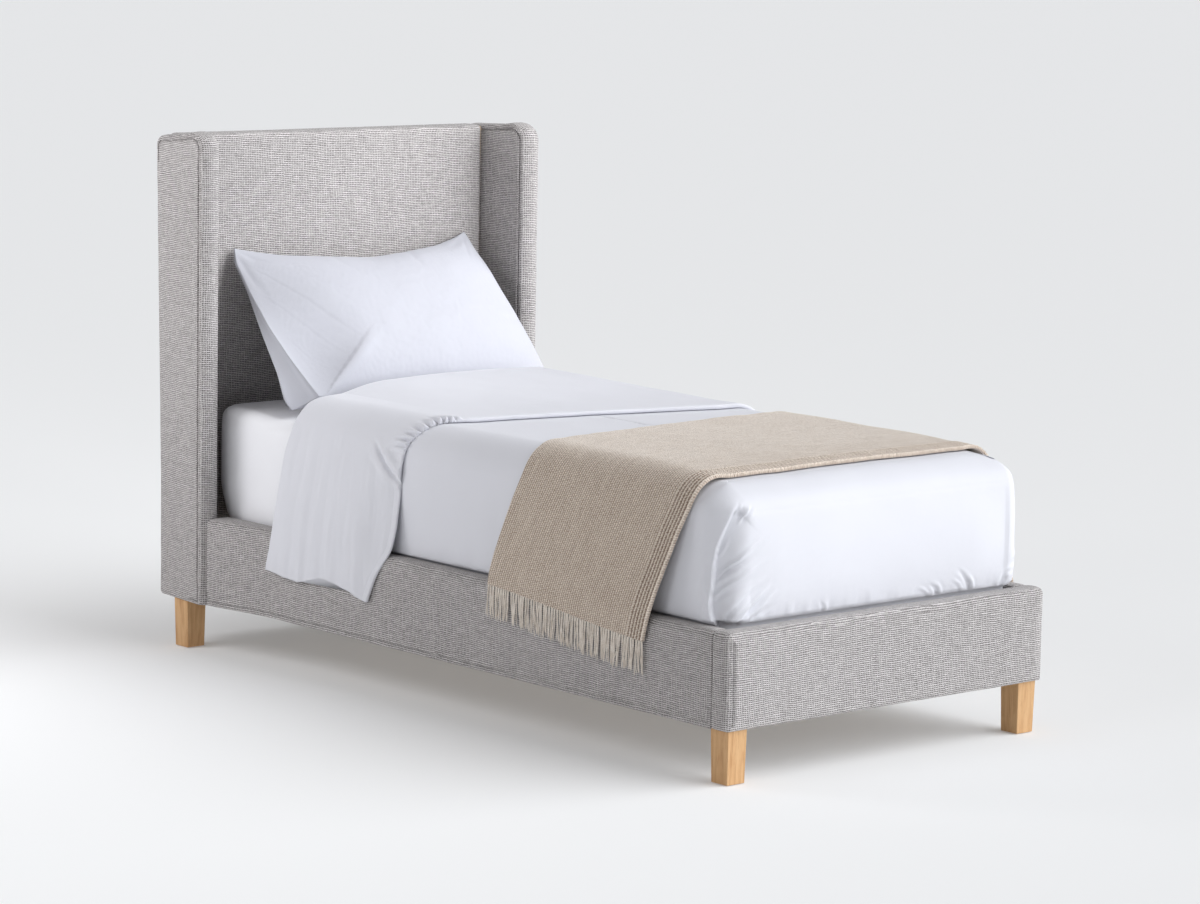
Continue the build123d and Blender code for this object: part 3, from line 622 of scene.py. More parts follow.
def build_wing(side):
    s = -1 if side == "left" else 1
    # outer face first: w runs from the outer to the inner side for the left wing
    w = (-XW, -XWI) if s < 0 else (XWI, XW)
    outer = 0 if s < 0 else 1
    plane = ("w", "a", "b")
    seam_front, seam_top = 0.0092, 0.0125

    def shape(tag, A, B, W, D, N):
        P = xyz(plane, A, B, W)
        out = 0.0008 * fbm(P, 0.11, 5 + outer) + 0.0004 * fbm(P, 0.03, 6 + outer)
        face_o, face_i = tag == outer, tag == 1 - outer
        crown = win(A, YW, YB, 4) * win(B, ZB, WING_TOP, 8)
        out = out + face_o * 0.0022 * crown + face_i * 0.0016 * crown
        band = tag == 2
        front, top = np.maximum(-N[:, 0], 0), np.maximum(N[:, 1], 0)
        out = out + band * win(W, w[0], w[1], 2) * (0.0125 * front**2 + 0.0036 * top**2)
        # the band that runs up the front and over the top is sewn to both faces
        df, dt = np.maximum(A - YW, 0), np.maximum(WING_TOP - B, 0)
        at = seam_top + (seam_front - seam_top) * sm(dt / (df + dt + 1e-6), 0.25, 0.85)
        ds = D - at
        puck = 1 + 0.45 * vnoise(P * [60, 60, 60], 3)
        for mask in (face_o * ((df < 0.07) | (dt < 0.07)) * (B > ZB + 0.004), face_i * ((df < 0.05) | (dt < 0.05)) * (B > ZB + 0.004)):
            out = out - mask * 0.0062 * gs(ds, 0.0019) * puck
            out = out + mask * 0.0011 * gs(ds - 0.006, 0.005) + mask * 0.0012 * gs(ds + 0.006, 0.005) * 1.0
            out = out + mask * 0.0009 * gs(ds - 0.012, 0.012) * vnoise(np.stack([A * 42, B * 42, W * 0], 1), 9) * (1 + 1.4 * gs(np.hypot(df, dt), 0.09))
        return out

    r = (0.006, 0.0062, 0.0064, 0.0046)  # bottom, back, top, front
    ob = block(side + "_wing", plane, (YW, YB), (ZB, WING_TOP), w, (0.011, 0.011, 0.026, 0.042), r, r, M["tweed"], step=0.012, fine0=(0.0106,), fine1=(0.0106,), shape=shape, na=13)
    V = coords(ob.data)
    t = (YB - V[:, 1]) / (YB - YW)
    xi, xo = 0.0060 + 0.0116 * t, FLARE * t
    k = (np.abs(V[:, 0]) - XWI) / (XW - XWI)
    V[:, 0] += s * (xi + (xo - xi) * k)
    V[:, 1] = YB - (YB - V[:, 1]) * (YB - YWV) / (YB - YW)
    low, slope = (0.0065, 0.0205) if s < 0 else (0.0105, 0.0090)
    V[:, 2] -= (low + slope * (1 - t) - 0.0045 * gs(t - 0.80, 0.13)) * np.clip((V[:, 2] - 0.7) / (WING_TOP - 0.7), 0, 1)
    V = recline(V, YWV, 0.0100)
    ob.data.vertices.foreach_set("co", V.astype(np.float32).ravel())
    ob.data.update()
    box_uv(ob)
    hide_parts(side + "_wing_cover", side + "_wing_foam")
    return ob


def build_headboard():
    plane = ("a", "w", "b")

    def shape(tag, A, B, W, D, N):
        P = xyz(plane, A, B, W)
        out = 0.0009 * fbm(P, 0.16, 21)
        front = tag == 0
        edge = XWI + 0.0068 - np.abs(A)
        out = out + front * 0.0055 * (1 - np.exp(-np.maximum(edge, 0) / 0.045)) * (1 - np.exp(-np.maximum(HEAD_TOP - B, 0) / 0.05)) * 0.5
        top = (tag == 2) & (N[:, 1] > 0.3)
        out = out + top * 0.002 * win(W, YH, YB, 2)
        return out

    ob = block("headboard_panel", plane, (-XWI - 0.0068, XWI + 0.0068), (ZB, HEAD_TOP - 0.0015), (YH, YB), (0.006, 0.006, 0.012, 0.012),
               (0.008, 0.013, 0.012, 0.013), (0.006, 0.004, 0.008, 0.004), M["tweed"], step=0.016, fine0=(0.022,), shape=shape)
    V = coords(ob.data)
    # the face falls away beside the wings
    V[:, 1] += 0.014 * np.exp(-np.maximum(XWI + 0.0068 - np.abs(V[:, 0]), 0) / 0.020) * np.clip((YB - V[:, 1]) / (YB - YH), 0, 1)
    V = recline(V, YH)
    ob.data.vertices.foreach_set("co", V.astype(np.float32).ravel())
    ob.data.update()
    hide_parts("headboard_cover", "headboard_foam")
    return ob


def build_back():
    plane = ("a", "w", "b")

    def shape(tag, A, B, W, D, N):
        back = (tag == 1) * 1.0
        s = -back * 0.0008 * gs(D - 0.012, 0.0016) + back * 0.0003 * fbm(xyz(plane, A, B, W), 0.2, 33)
        staple = back * 0.0004 * gs(D - 0.007, 0.002) * (vnoise(np.stack([A * 40, B * 40, W * 0], 1), 8) > 0.1)
        return s + staple

    ob = block("headboard_back_panel", plane, (-0.512, 0.512), (0.133, 1.296), (1.0702, 1.0725), (0.012,) * 4,
               (0.0005,) * 4, (0.0008,) * 4, M["back"], step=0.02, fine1=(0.012,), shape=shape, nr=2)
    V = coords(ob.data)
    V = recline(V, YH)
    ob.data.vertices.foreach_set("co", V.astype(np.float32).ravel())
    ob.data.update()
    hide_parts("headboard_back_cover")
    return ob


def build_rail(side):
    s = -1 if side == "left" else 1
    w = (-XR, -XRI) if s < 0 else (XRI, XR)
    outer = 0 if s < 0 else 1
    plane = ("w", "a", "b")
    hem = 0.0125

    def shape(tag, A, B, W, D, N):
        P = xyz(plane, A, B, W)
        out = 0.0008 * fbm(P, (0.2, 0.12, 0.09), 41 + outer)
        face_o, face_i = tag == outer, tag == 1 - outer
        out = out + face_o * 0.0032 * win(B, ZB, RAIL_TOP, 2.5) * win(A, YFI, YW, 14)
        top = (tag == 2) * np.clip(N[:, 1], 0, 1)
        out = out + top * 0.0025 * win(W, w[0], w[1], 2)
        # hem along the bottom of the outer face
        low = face_o * (B < ZB + 0.04)
        out = out - low * 0.0026 * gs(D - hem, 0.0012) + low * 0.0016 * sm(hem - D, 0.0, 0.004) + low * 0.0008 * gs(D - hem - 0.005, 0.004)
        return out + low * 0.0004 * vnoise(P * [1, 55, 55], 12) * gs(D - hem, 0.008)

    big, small = 0.013, 0.008
    ro, ri = (0.004, 0.010, big, 0.0045), (0.004, small, small, 0.004)  # bottom, head end, top, foot end
    fine = {outer: (hem,), 1 - outer: ()}
    ob = block(side + "_side_rail", plane, (YFI, YW - 0.0006), (ZB, RAIL_TOP), w, (0.004, 0.006, 0.018, 0.006),
               ro if outer == 0 else ri, ri if outer == 0 else ro, M["tweed"], step=0.015, fine0=fine[0], fine1=fine[1], shape=shape)
    V = coords(ob.data)
    V[:, 0] += s * 0.031 * sm(V[:, 1], 0.60, 0.87) * sm(np.abs(V[:, 0]), XRI, XR)
    V[:, 1] += (YWV - YW + 0.002) * sm(V[:, 1], 0.60, 0.8469)
    ob.data.vertices.foreach_set("co", V.astype(np.float32).ravel())
    ob.data.update()
    box_uv(ob)
    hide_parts(side + "_rail_cover", side + "_rail_foam", side + "_rail_welt")
    return ob


def build_foot():
    plane = ("a", "w", "b")

    def shape(tag, A, B, W, D, N):
        P = xyz(plane, A, B, W)
        out = 0.0009 * fbm(P, (0.15, 0.1, 0.09), 61)
        front = tag == 0
        out = out + front * 0.0035 * win(B, ZB, RAIL_TOP, 2.5) * win(A, -XR, XR, 10)
        out = out + (tag == 2) * np.clip(N[:, 1], 0, 1) * 0.0028 * win(W, YF, YFI, 2)
        out = out + (tag == 2) * np.abs(N[:, 0]) * 0.0015 * win(W, YF, YFI, 2)
        return out

    ob = block("foot_panel", plane, (-XR, XR), (ZB, RAIL_TOP), (YF, YFI), (0.010, 0.010, 0.016, 0.016),
               (0.008, 0.015, 0.014, 0.015), (0.004, 0.0045, 0.007, 0.0045), M["tweed"], step=0.014, shape=shape, na=9, nr=6)
    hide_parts("foot_cover", "foot_foam")
    return ob


PIECES = {}
for side in ("left", "right"):
    PIECES[side + "_wing"] = build_wing(side)
    PIECES[side + "_side_rail"] = build_rail(side)
PIECES["headboard"] = build_headboard()
PIECES["back"] = build_back()
PIECES["foot"] = build_foot()
for k, ob in PIECES.items():
    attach(ob, "frame")

# ------------------------------------------------------------------ bedding sizes
MXV, MY0V, MY1V, MZ0, MZ1 = 0.4485, -0.992, 0.964, 0.322, 0.610
DX, DY0, DZ = 0.471, -1.014, 0.672
RHO = 0.085                      # rounding of the duvet's top edges
CUT = 0.548                      # the duvet's head end, under the cuff


class Rounded:
    """Samples round a rounded rectangle, denser where asked, and its inset rings."""

    def __init__(self, a0, a1, b0, b1, rad, near, na):
        self.cs = [(a0, b0), (a1, b0), (a1, b1), (a0, b1)]
        self.ns = [((-1, 0), (0, -1)), ((0, -1), (1, 0)), ((1, 0), (0, 1)), ((0, 1), (-1, 0))]
        self.rad = rad
        self.parts, nor = [], []
        for i in range(4):
            th = np.linspace(0, math.pi / 2, na[i] + 1)[:, None]
            N = np.array(self.ns[i][0], float) * np.cos(th) + np.array(self.ns[i][1], float) * np.sin(th)
            self.parts.append(("c", i, N))
            nor.append(N)
            j = (i + 1) % 4
            n = np.array(self.ns[i][1], float)
            A, B = self._at(i, n[None], np.zeros(1))[0], self._at(j, n[None], np.zeros(1))[0]
            L = np.linalg.norm(B - A)
            t, x = [], 0.0
            while True:
                x += near(A + (B - A) * (x / L))
                if x > L - 0.002:
                    break
                t.append(x / L)
            t = np.array(t) if t else np.array([0.5])
            self.parts.append(("s", i, t))
            nor.append(np.repeat([n], len(t), 0))
        self.nor = np.concatenate(nor)
        self.k = len(self.nor)

    def _at(self, i, n, dd):
        c = np.array(self.cs[i], float)
        s = np.array(self.ns[i][0], float) + np.array(self.ns[i][1], float)
        R = self.rad[i]
        dd = dd[:, None]
        return np.where(dd <= R, c - s * R + n * (R - dd), c - s * dd)

    def ring(self, d):
        out = []
        for kind, i, v in self.parts:
            if kind == "c":
                out.append(self._at(i, v, np.full(len(v), d)))
            else:
                n = np.array(self.ns[i][1], float)
                j = (i + 1) % 4
                A, B = self._at(i, n[None], np.full(1, d)), self._at(j, n[None], np.full(1, d))
                out.append(A + (B - A) * v[:, None])
        return np.concatenate(out)


def swept(name, R, profile, mat, shape=None, close=False, lower=None):
    """Rings of R at the (inset, height) points of a profile, with the profile's own normals."""
    pr = np.array([p[:2] for p in profile], float)
    tan = np.gradient(pr, axis=0)
    tan /= np.maximum(np.linalg.norm(tan, axis=1), 1e-9)[:, None]
    nd, nz = tan[:, 1], -tan[:, 0]        # outward of (inset, z) when walking from the top centre outward and down
    P, N = [], []
    for (d, z), a, b in zip(pr, nd, nz):
        P.append(np.column_stack([R.ring(d), np.full(R.k, z)]))
        # inset grows inward, so outward in the plane is minus the inset's own direction
        N.append(np.column_stack([R.nor * (-a), np.full(R.k, b)]))
    P, N = np.array(P), np.array(N)
    if lower is not None:
        # another course of some rows on one side
        first, alt, share = lower
        for i, (d, z) in enumerate(alt):
            w = share(P[0])[:, None]
            P[first + i] = P[first + i] * (1 - w) + np.column_stack([R.ring(d), np.full(R.k, z)]) * w
            N[first + i] = N[first + i] * (1 - w) + np.column_stack([R.nor, np.zeros(R.k)]) * w
    V, NN = P.reshape(-1, 3), N.reshape(-1, 3)
    if shape is not None:
        rows = np.repeat(np.arange(len(pr)), R.k)
        V = V + NN * shape(V, NN, rows)[:, None]
    F = quads(len(pr), R.k, wrap_cols=True)
    if close:
        F.append(tuple(range(R.k)))
        n0 = (len(pr) - 1) * R.k
        F.append(tuple(range(n0, n0 + R.k)))
    return make(name, V, F, mat)


def arc(cd, cz, r, a0, a1, n):
    """Points of a quarter turn: inset cd + r*cos, height cz + r*sin, angles in degrees."""
    return [(cd + r * math.cos(math.radians(t)), cz + r * math.sin(math.radians(t))) for t in np.linspace(a0, a1, n)]


def lin(p, q, n):
    return [(p[0] + (q[0] - p[0]) * t, p[1] + (q[1] - p[1]) * t) for t in np.linspace(0, 1, n)]


def top_wave(x, y):
    """How far the duvet's top rises or sinks from its flat height."""
    P = np.column_stack([x, y, np.zeros_like(x)])
    w = 0.0035 * fbm(P, (0.42, 0.34, 1), 71, 2) + 0.0012 * fbm(P, (0.10, 0.16, 1), 75, 2)
    w = w - 0.012 * sm(y, -0.72, -1.0) + 0.002 * sm(np.abs(x), 0.40, 0.0)
    return w


def head_crown(V, N):
    """The mattress stands a little higher where nothing but the pillow lies on it."""
    return 0.010 * sm(V[:, 1], 0.68, 0.82) * sm(N[:, 2], 0.2, 0.9)


def head_corner(V):
    """The head corners of the mattress are drawn in towards the bottom by the sheet's elastic."""
    x, y, z = V.T
    c = gs(np.hypot(np.abs(x) - 0.42, y - 0.935), 0.075)
    return 0.020 * c * sm(z, 0.45, 0.338) ** 1.4


# ---- mattress, inside its fitted sheet
def build_mattress():
    R = Rounded(-MXV, MXV, MY0V, MY1V, (0.060, 0.044, 0.090, 0.090), lambda p: 0.014, (10, 10, 14, 14))
    rt, rb = 0.036, 0.034
    half = MXV - 0.006
    prof = lin((half, MZ1), (rt, MZ1), 30)
    prof += arc(rt, MZ1 - rt, rt, 90, 180, 9)[1:]
    prof += lin((0, MZ1 - rt), (0, MZ0 + rb), 18)[1:]
    prof += arc(rb, MZ0 + rb, rb, 180, 270, 9)[1:]
    prof += lin((rb, MZ0), (half, MZ0), 30)[1:]

    def shape(V, N, rows):
        top = V[:, 2] > (MZ0 + MZ1) / 2
        quilt = 0.0016 * (1 - np.abs(np.sin(V[:, 0] * math.pi / 0.105)) ** 0.35 * np.abs(np.sin(V[:, 1] * math.pi / 0.105)) ** 0.35)
        flat = sm(np.abs(N[:, 2]), 0.8, 1.0)
        out = -quilt * flat
        edge = np.abs(np.arctan2(np.abs(N[:, 2]), np.linalg.norm(N[:, :2], axis=1)) - math.radians(40))
        out = out + 0.0012 * gs(edge, 0.10) * (~top)
        return out - top * 0.0006 - head_corner(V) + head_crown(V, N)

    ob = swept("mattress_core", R, prof, [M["ticking"], M["tape"]], shape, close=True)
    me = ob.data
    nz = [abs(p.normal.z) for p in me.polygons]
    me.polygons.foreach_set("material_index", [1 if 0.50 < v < 0.78 else 0 for v in nz])
    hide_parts("mattress")
    return ob


def build_sheet():
    g = 0.0011
    R = Rounded(-MXV - g, MXV + g, MY0V - g, MY1V + g, (0.0611, 0.0451, 0.0911, 0.0911), lambda p: 0.0075 if p[1] > 0.3 else 0.016, (12, 12, 30, 30))
    rt, rb = 0.0371, 0.0351
    half = MXV - 0.006
    prof = lin((half, MZ1 + g), (rt, MZ1 + g), 30)
    prof += arc(rt, MZ1 + g - rt, rt, 90, 180, 10)[1:]
    prof += lin((0, MZ1 + g - rt), (0, MZ0 - g + rb), 26)[1:]
    prof += arc(rb, MZ0 - g + rb, rb, 180, 236, 9)[1:]

    def shape(V, N, rows):
        x, y, z = V.T
        corner = gs(np.hypot(np.abs(x) - 0.40, y - 0.91), 0.095)
        foot = gs(np.hypot(np.abs(x) - 0.42, y + 0.95), 0.085)
        low = sm(z, 0.47, 0.345)
        side = sm(np.abs(N[:, 2]), 0.9, 0.4)
        ang = np.arctan2(y - 0.872, np.abs(x) - 0.358)
        gath = (0.5 + 0.5 * np.sin(ang * 30 + 2.2 * vnoise(V * 16, 4))) ** 1.6 * 0.0028
        out = (corner + foot) * low * gath
        out = out + side * 0.0016 * (1 + fbm(np.column_stack([x, y + 0.3 * z, z * 0.5]), (0.25, 0.09, 0.2), 81))
        out = out + side * low * 0.0012 * (1 + vnoise(np.column_stack([x * 9, y * 38 + 6 * z, z * 9]), 6)) * sm(y, 0.60, 0.80)
        return out + 0.0010 * sm(z, 0.347, 0.336) + 0.0002 - head_corner(V) + head_crown(V, N)

    ob = swept("fitted_sheet_cloth", R, prof, M["sheet"], shape)
    bm = bmesh.new()
    bm.from_mesh(ob.data)
    # the middle of the top, then a turned thickness outwards
    loops = [e for e in bm.edges if e.is_boundary and all(v.co.z > 0.5 for v in e.verts)]
    bmesh.ops.contextual_create(bm, geom=loops)
    bmesh.ops.triangulate(bm, faces=[f for f in bm.faces if len(f.verts) > 4])
    bm.to_mesh(ob.data)
    bm.free()
    thick(ob, 0.0010)
    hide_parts("fitted_sheet")
    return ob


def apply(ob, name):
    bpy.context.view_layer.objects.active = ob
    for o in bpy.context.view_layer.objects:
        o.select_set(o == ob)
    bpy.ops.object.modifier_apply(modifier=name)


def thick(ob, t, offset=1.0):
    m = ob.modifiers.new("thick", "SOLIDIFY")
    m.thickness, m.offset, m.use_even_offset, m.use_quality_normals = t, offset, False, True
    apply(ob, "thick")
    ob.data.polygons.foreach_set("use_smooth", [True] * len(ob.data.polygons))


def settle(ob, ref, hold, pressure, grow, frames, cap):
    """Cloth simulation: the cover, a little larger than the form under it, swells against what holds it. hold is
    given at the points ref."""
    old = coords(ob.data)
    from mathutils.kdtree import KDTree
    kd = KDTree(len(ref))
    for i, p in enumerate(ref):
        kd.insert(p, i)
    kd.balance()
    w = np.array([hold[kd.find(p)[1]] for p in old])
    vg = ob.vertex_groups.new(name="hold")
    for i, x in enumerate(w):
        vg.add([i], float(x), "REPLACE")
    mod = ob.modifiers.new("cloth", "CLOTH")
    st = mod.settings
    st.quality, st.mass = 6, 0.25
    st.tension_stiffness = st.compression_stiffness = 22.0
    st.shear_stiffness, st.bending_stiffness = 8.0, 2.5
    st.air_damping = 2.0
    st.use_pressure, st.uniform_pressure_force = True, pressure
    st.shrink_min = grow
    st.vertex_group_mass, st.pin_stiffness = "hold", 1.0
    st.effector_weights.gravity = 0.0
    mod.collision_settings.use_collision = False
    mod.collision_settings.use_self_collision = False
    mod.point_cache.frame_start, mod.point_cache.frame_end = 1, frames
    scene = bpy.context.scene
    for f in range(1, frames + 1):
        scene.frame_set(f)
        bpy.context.view_layer.update()
    apply(ob, "cloth")
    scene.frame_set(1)
    new = coords(ob.data)
    d = new - old
    n = np.linalg.norm(d, axis=1)
    print("settle", ob.name, "largest", round(float(n.max()), 4), "mean", round(float(n.mean()), 4))
    d *= np.minimum(1, cap / np.maximum(n, 1e-9))[:, None]
    ob.data.vertices.foreach_set("co", (old + d).astype(np.float32).ravel())
    ob.data.update()
    ob.vertex_groups.clear()


# ---- duvet
PLEAT = [(744.5, 503.5), (738, 508), (732.4, 513.3), (725.1, 527.9), (717.9, 544.8), (714.2, 563), (713, 581.2), (711.2, 599.3), (711.8, 611.5), (713.6, 618.7), (718.5, 628.5)]
FOOT_LINES = [
    # the pinch at the top of the corner pleat
    ([(734.2, 515.8), (739.5, 509), (743.5, 504)], .0052, 1.1, .3, .3),
    ([(737.2, 525.4), (744, 517), (751.8, 504.8)], .0046, 1.2, .4, .4),
    ([(742, 522), (748, 514), (754, 506)], -.0030, 1.2, .4, .4),
    # folds that run from the pleat up to the right
    ([(714.2, 579.4), (726.4, 567.8), (738.4, 559), (753, 543.6), (764, 533)], .0040, 1.4, .25, .5),
    ([(712.5, 583), (728, 571), (745, 561), (760, 549)], -.0042, 2.0, .2, .5),
    ([(711.8, 599.3), (721.5, 589.6), (740.9, 576.3), (753, 565.4), (764, 556)], .0034, 1.5, .25, .5),
    ([(712, 603), (724, 594), (742, 583), (758, 572)], -.0036, 2.2, .2, .6),
    ([(722, 626), (730, 612.7), (744.5, 597), (758, 585), (768, 577)], -.0040, 2.2, .15, .5),
    ([(729, 627), (738.5, 617.5), (753, 599.3), (762.7, 588.4), (768, 580)], .0044, 1.5, .2, .4),
    ([(734, 624.5), (748, 610), (760, 599), (768, 592)], -.0034, 1.8, .2, .5),
    ([(742, 622.4), (757.8, 607.8), (767.5, 595.7), (776, 586)], .0030, 1.7, .2, .5),
    ([(750, 621), (764, 609), (776, 600)], -.0024, 2.0, .2, .6),
    ([(716, 560), (724, 549), (731, 538)], .0016, 1.5, .3, .5),
    # side of the pleat's lip
    ([(709, 590), (704, 606), (701, 622)], -.0026, 2.2, .3, .4),
    ([(711, 562), (706, 578), (703, 596)], .0022, 2.2, .3, .4),
    # right corner
    ([(1012, 566), (1004, 574), (999, 586)], -.0046, 1.7, .3, .1),
    ([(1016, 548), (1012, 560), (1006, 571)], -.0040, 1.8, .3, .3),
    ([(1015, 556), (1009, 567), (1004, 580)], .0030, 1.5, .3, .2),
    ([(968, 590), (965.5, 582), (960, 574), (953, 567)], -.0040, 1.6, .1, .5),
    ([(972, 589), (970, 581), (965, 573)], .0030, 1.3, .1, .5),
    ([(962, 591), (957, 583), (949, 577)], .0026, 1.3, .1, .5),
    ([(936, 595), (933, 588), (926, 582)], -.0040, 1.5, .1, .5),
    ([(940, 594), (938, 587), (933, 580)], .0028, 1.2, .1, .5),
    ([(930, 596), (924, 590), (915, 586)], .0022, 1.3, .1, .5),
    ([(822, 612), (821, 606), (818, 599)], -.0028, 1.2, .1, .5),
    ([(826, 611), (825, 606), (824, 600)], .0018, 1.1, .1, .5),
]


def duvet_shape(V, N):
    x, y, z = V.T
    out = np.zeros(len(V))
    up = sm(N[:, 2], 0.2, 0.95)
    side = (1 - sm(np.abs(N[:, 2]), 0.15, 0.85)) * (z > 0.36)
    out += up * top_wave(x, y)
    # broad fullness of the sides and of the foot end
    h = np.clip((z - 0.350) / (0.60 - 0.350), 0, 1)
    full = np.sin(math.pi * h) ** 0.8
    foot = sm(-y, 0.90, 0.985)
    end = sm(-N[:, 1], 0.1, 0.7)
    out += side * full * (0.004 * (1 - foot) + 0.010 * end * sm(np.abs(x), 0.47, 0.30) + 0.004 * foot + 0.004 * (x > 0.42) * foot)
    # the foot end goes straight down behind the panel, and fills its corners
    corner = 2 * np.abs(N[:, 0] * N[:, 1]) / np.maximum(1e-6, 1 - N[:, 2] ** 2)
    out += (z >= 0.3565) * side * corner * sm(z, 0.48, 0.352) * np.where(x < 0, 0.014, 0.006) * sm(-y, 0.85, 0.92)
    out += side * 0.0022 * fbm(V, (0.5, 0.13, 0.35), 91, 2) * (1 - foot)
    out += side * foot * 0.0020 * fbm(V, (0.22, 0.5, 0.16), 95, 2)
    # soft creases that hang down the long sides
    g = np.abs(x) > 0.40
    drape = fbm(np.column_stack([y * 1.0 + 0.22 * (z - 0.5), np.sign(x) * 3, z * 0.18]), 0.055, 101, 2)
    out += side * g * (1 - foot) * 0.0020 * drape * sm(z, 0.62, 0.45)
    # folds sketched in the view
    q, face = seen(V, N)
    face &= (y < -0.60) & (z > 0.345)
    line = np.array(PLEAT)
    near = face & (np.abs(q - [725, 565]) < [60, 80]).all(1)
    qq = q[near]
    d, at = to_line(qq, line)
    seg_i = np.clip(np.searchsorted(np.concatenate([[0], np.cumsum(np.linalg.norm(np.diff(line, axis=0), axis=1))]) / np.linalg.norm(np.diff(line, axis=0), axis=1).sum(), at) - 1, 0, len(line) - 2)
    tan = (line[seg_i + 1] - line[seg_i])
    rel = qq - line[seg_i]
    right = (tan[:, 0] * rel[:, 1] - tan[:, 1] * rel[:, 0]) < 0     # right of the line as drawn downwards
    sd = np.where(right, d, -d)
    ends = sm(at, 0.0, 0.10) * sm(at, 1.02, 0.96)
    over = 0.0048 * np.exp(-np.maximum(-sd, 0) / 9.0)
    gone = 0.0048 - 0.0160 * sm(sd, 0.0, 1.5) + 0.0112 * sm(sd, 2.0, 25.0)
    out[near] += ends * np.where(sd <= 0, over, gone) * (d < 60)
    out[near] += ends * (-0.0030) * gs(sd - 14, 11) * (sd > 0)
    out += strokes(q, FOOT_LINES, face)
    dc = np.hypot(q[:, 0] - 722, q[:, 1] - 575)
    fan = fbm(np.column_stack([q[:, 0] * 0.71 - q[:, 1] * 0.71, (q[:, 0] + q[:, 1]) * 0.71, q[:, 0] * 0]), (30.0, 4.2, 1), 111, 2)
    out += face * side * 0.0012 * fan * gs(dc, 48)
    lowz = sm(z, 0.40, 0.352) * side
    out += lowz * foot * 0.0018 * vnoise(np.column_stack([x * 55, z * 8, y * 0]), 13)
    out += lowz * (1 - foot) * 0.0014 * vnoise(np.column_stack([y * 45, z * 8, x * 0]), 14)
    return out


def build_duvet():
    def near(p):
        x, y = p
        if y < -0.92 and x < -0.24:
            return 0.0030
        if y < -0.98:
            return 0.0055
        return 0.0075 if y < 0.6 else 0.03

    R = Rounded(-DX, DX, DY0, 1.10, (0.075, 0.044, 0.05, 0.05), near, (42, 18, 3, 3))
    half = DX - 0.004
    zs = 0.3605
    prof = lin((half, DZ), (RHO, DZ), 62)
    prof += arc(RHO, DZ - RHO, RHO, 90, 180, 34)[1:]
    prof += lin((0, DZ - RHO), (0, zs), 62)[1:]
    prof += [(0.0004, 0.3565), (0.0022, 0.3532), (0.0058, 0.3511), (0.0105, 0.3500), (0.0150, 0.3478), (0.0162, 0.342), (0.0165, 0.330), (0.0172, 0.3252), (0.0184, 0.3240), (0.0194, 0.3256)]
    outer_rows = len(prof) - 10
    prof += lin((0.0197, 0.330), (0.0197, MZ1 + 0.0040 - 0.0370), 12)
    prof += arc(0.0197 + 0.037, MZ1 + 0.0040 - 0.037, 0.037, 180, 90, 8)[1:]
    prof += lin((0.0567, MZ1 + 0.0040), (half, MZ1 + 0.0040), 12)[1:]

    def shape(V, N, rows):
        o = rows < outer_rows + 9
        out = np.zeros(len(V))
        out[o] = duvet_shape(V[o], N[o])
        return out

    straight = [(0.0001, 0.3565), (0.0002, 0.3528), (0.0003, 0.3488), (0.0005, 0.3448), (0.0008, 0.3408), (0.0020, 0.3370), (0.0060, 0.3345), (0.0115, 0.3330), (0.0165, 0.3325), (0.0192, 0.3345)]
    ob = swept("duvet_body", R, prof, M["white"], shape, close=True, lower=(outer_rows, straight, lambda q: sm(-q[:, 1], 0.88, 0.93)))
    bm = bmesh.new()
    bm.from_mesh(ob.data)
    geom = bm.verts[:] + bm.edges[:] + bm.faces[:]
    cut = bmesh.ops.bisect_plane(bm, geom=geom, dist=1e-6, plane_co=(0, CUT, 0), plane_no=(0, 1, 0), clear_outer=True)
    edges = [e for e in bm.edges if e.is_boundary]
    bmesh.ops.contextual_create(bm, geom=edges)
    bmesh.ops.triangulate(bm, faces=[f for f in bm.faces if len(f.verts) > 4], ngon_method="EAR_CLIP")
    bm.to_mesh(ob.data)
    bm.free()
    ob.data.polygons.foreach_set("use_smooth", [True] * len(ob.data.polygons))
    return ob


# ---- turned-back cuff and its hanging ends
def hang(zc, path, n=400):
    """A smooth curve through the (x, z) points of path, resampled by its own length, and that length at each point."""
    p = np.array(path, float)
    t = np.concatenate([[0], np.cumsum(np.linalg.norm(np.diff(p, axis=0), axis=1))])
    q = np.linspace(0, t[-1], n)
    c = np.column_stack([np.interp(q, t, p[:, 0]), np.interp(q, t, p[:, 1])])
    k = np.ones(13) / 13
    for _ in range(2):
        e = np.pad(c, ((6, 6), (0, 0)), mode="reflect", reflect_type="odd")
        c = np.column_stack([np.convolve(e[:, 0], k, "valid"), np.convolve(e[:, 1], k, "valid")])
    s = np.concatenate([[0], np.cumsum(np.linalg.norm(np.diff(c, axis=0), axis=1))])
    return c, s


def section(left_low, right_low, off=0.0):
    """The cross-section that cloth lying over the duvet takes, from the left hem to the right hem."""
    def half(low, sgn):
        cx, cz, r = DX - RHO, DZ - RHO, RHO + off
        pts = [(0, DZ + off), (cx * 0.5, DZ + off), (cx, DZ + off)]
        pts += [(cx + r * math.sin(t), cz + r * math.cos(t)) for t in np.radians(np.linspace(8, 76, 12))]
        pts += [(0.4835 + off, 0.545), (0.4945 + off, 0.47), (0.5045 + off, 0.40), (0.5095 + off, 0.35), (0.5105 + off, 0.30), (0.5105 + off, low)]
        pts = [p for p in pts if p[1] > low] + [(np.interp(low, [0.30, 0.35, 0.40, 0.47, 0.545], [0.5105, 0.5095, 0.5045, 0.4945, 0.4835]) + off, low)]
        return [(sgn * x, z) for x, z in pts]
    L, Rr = half(left_low, -1), half(right_low, 1)
    return hang(0, L[::-1] + Rr[1:], 900)


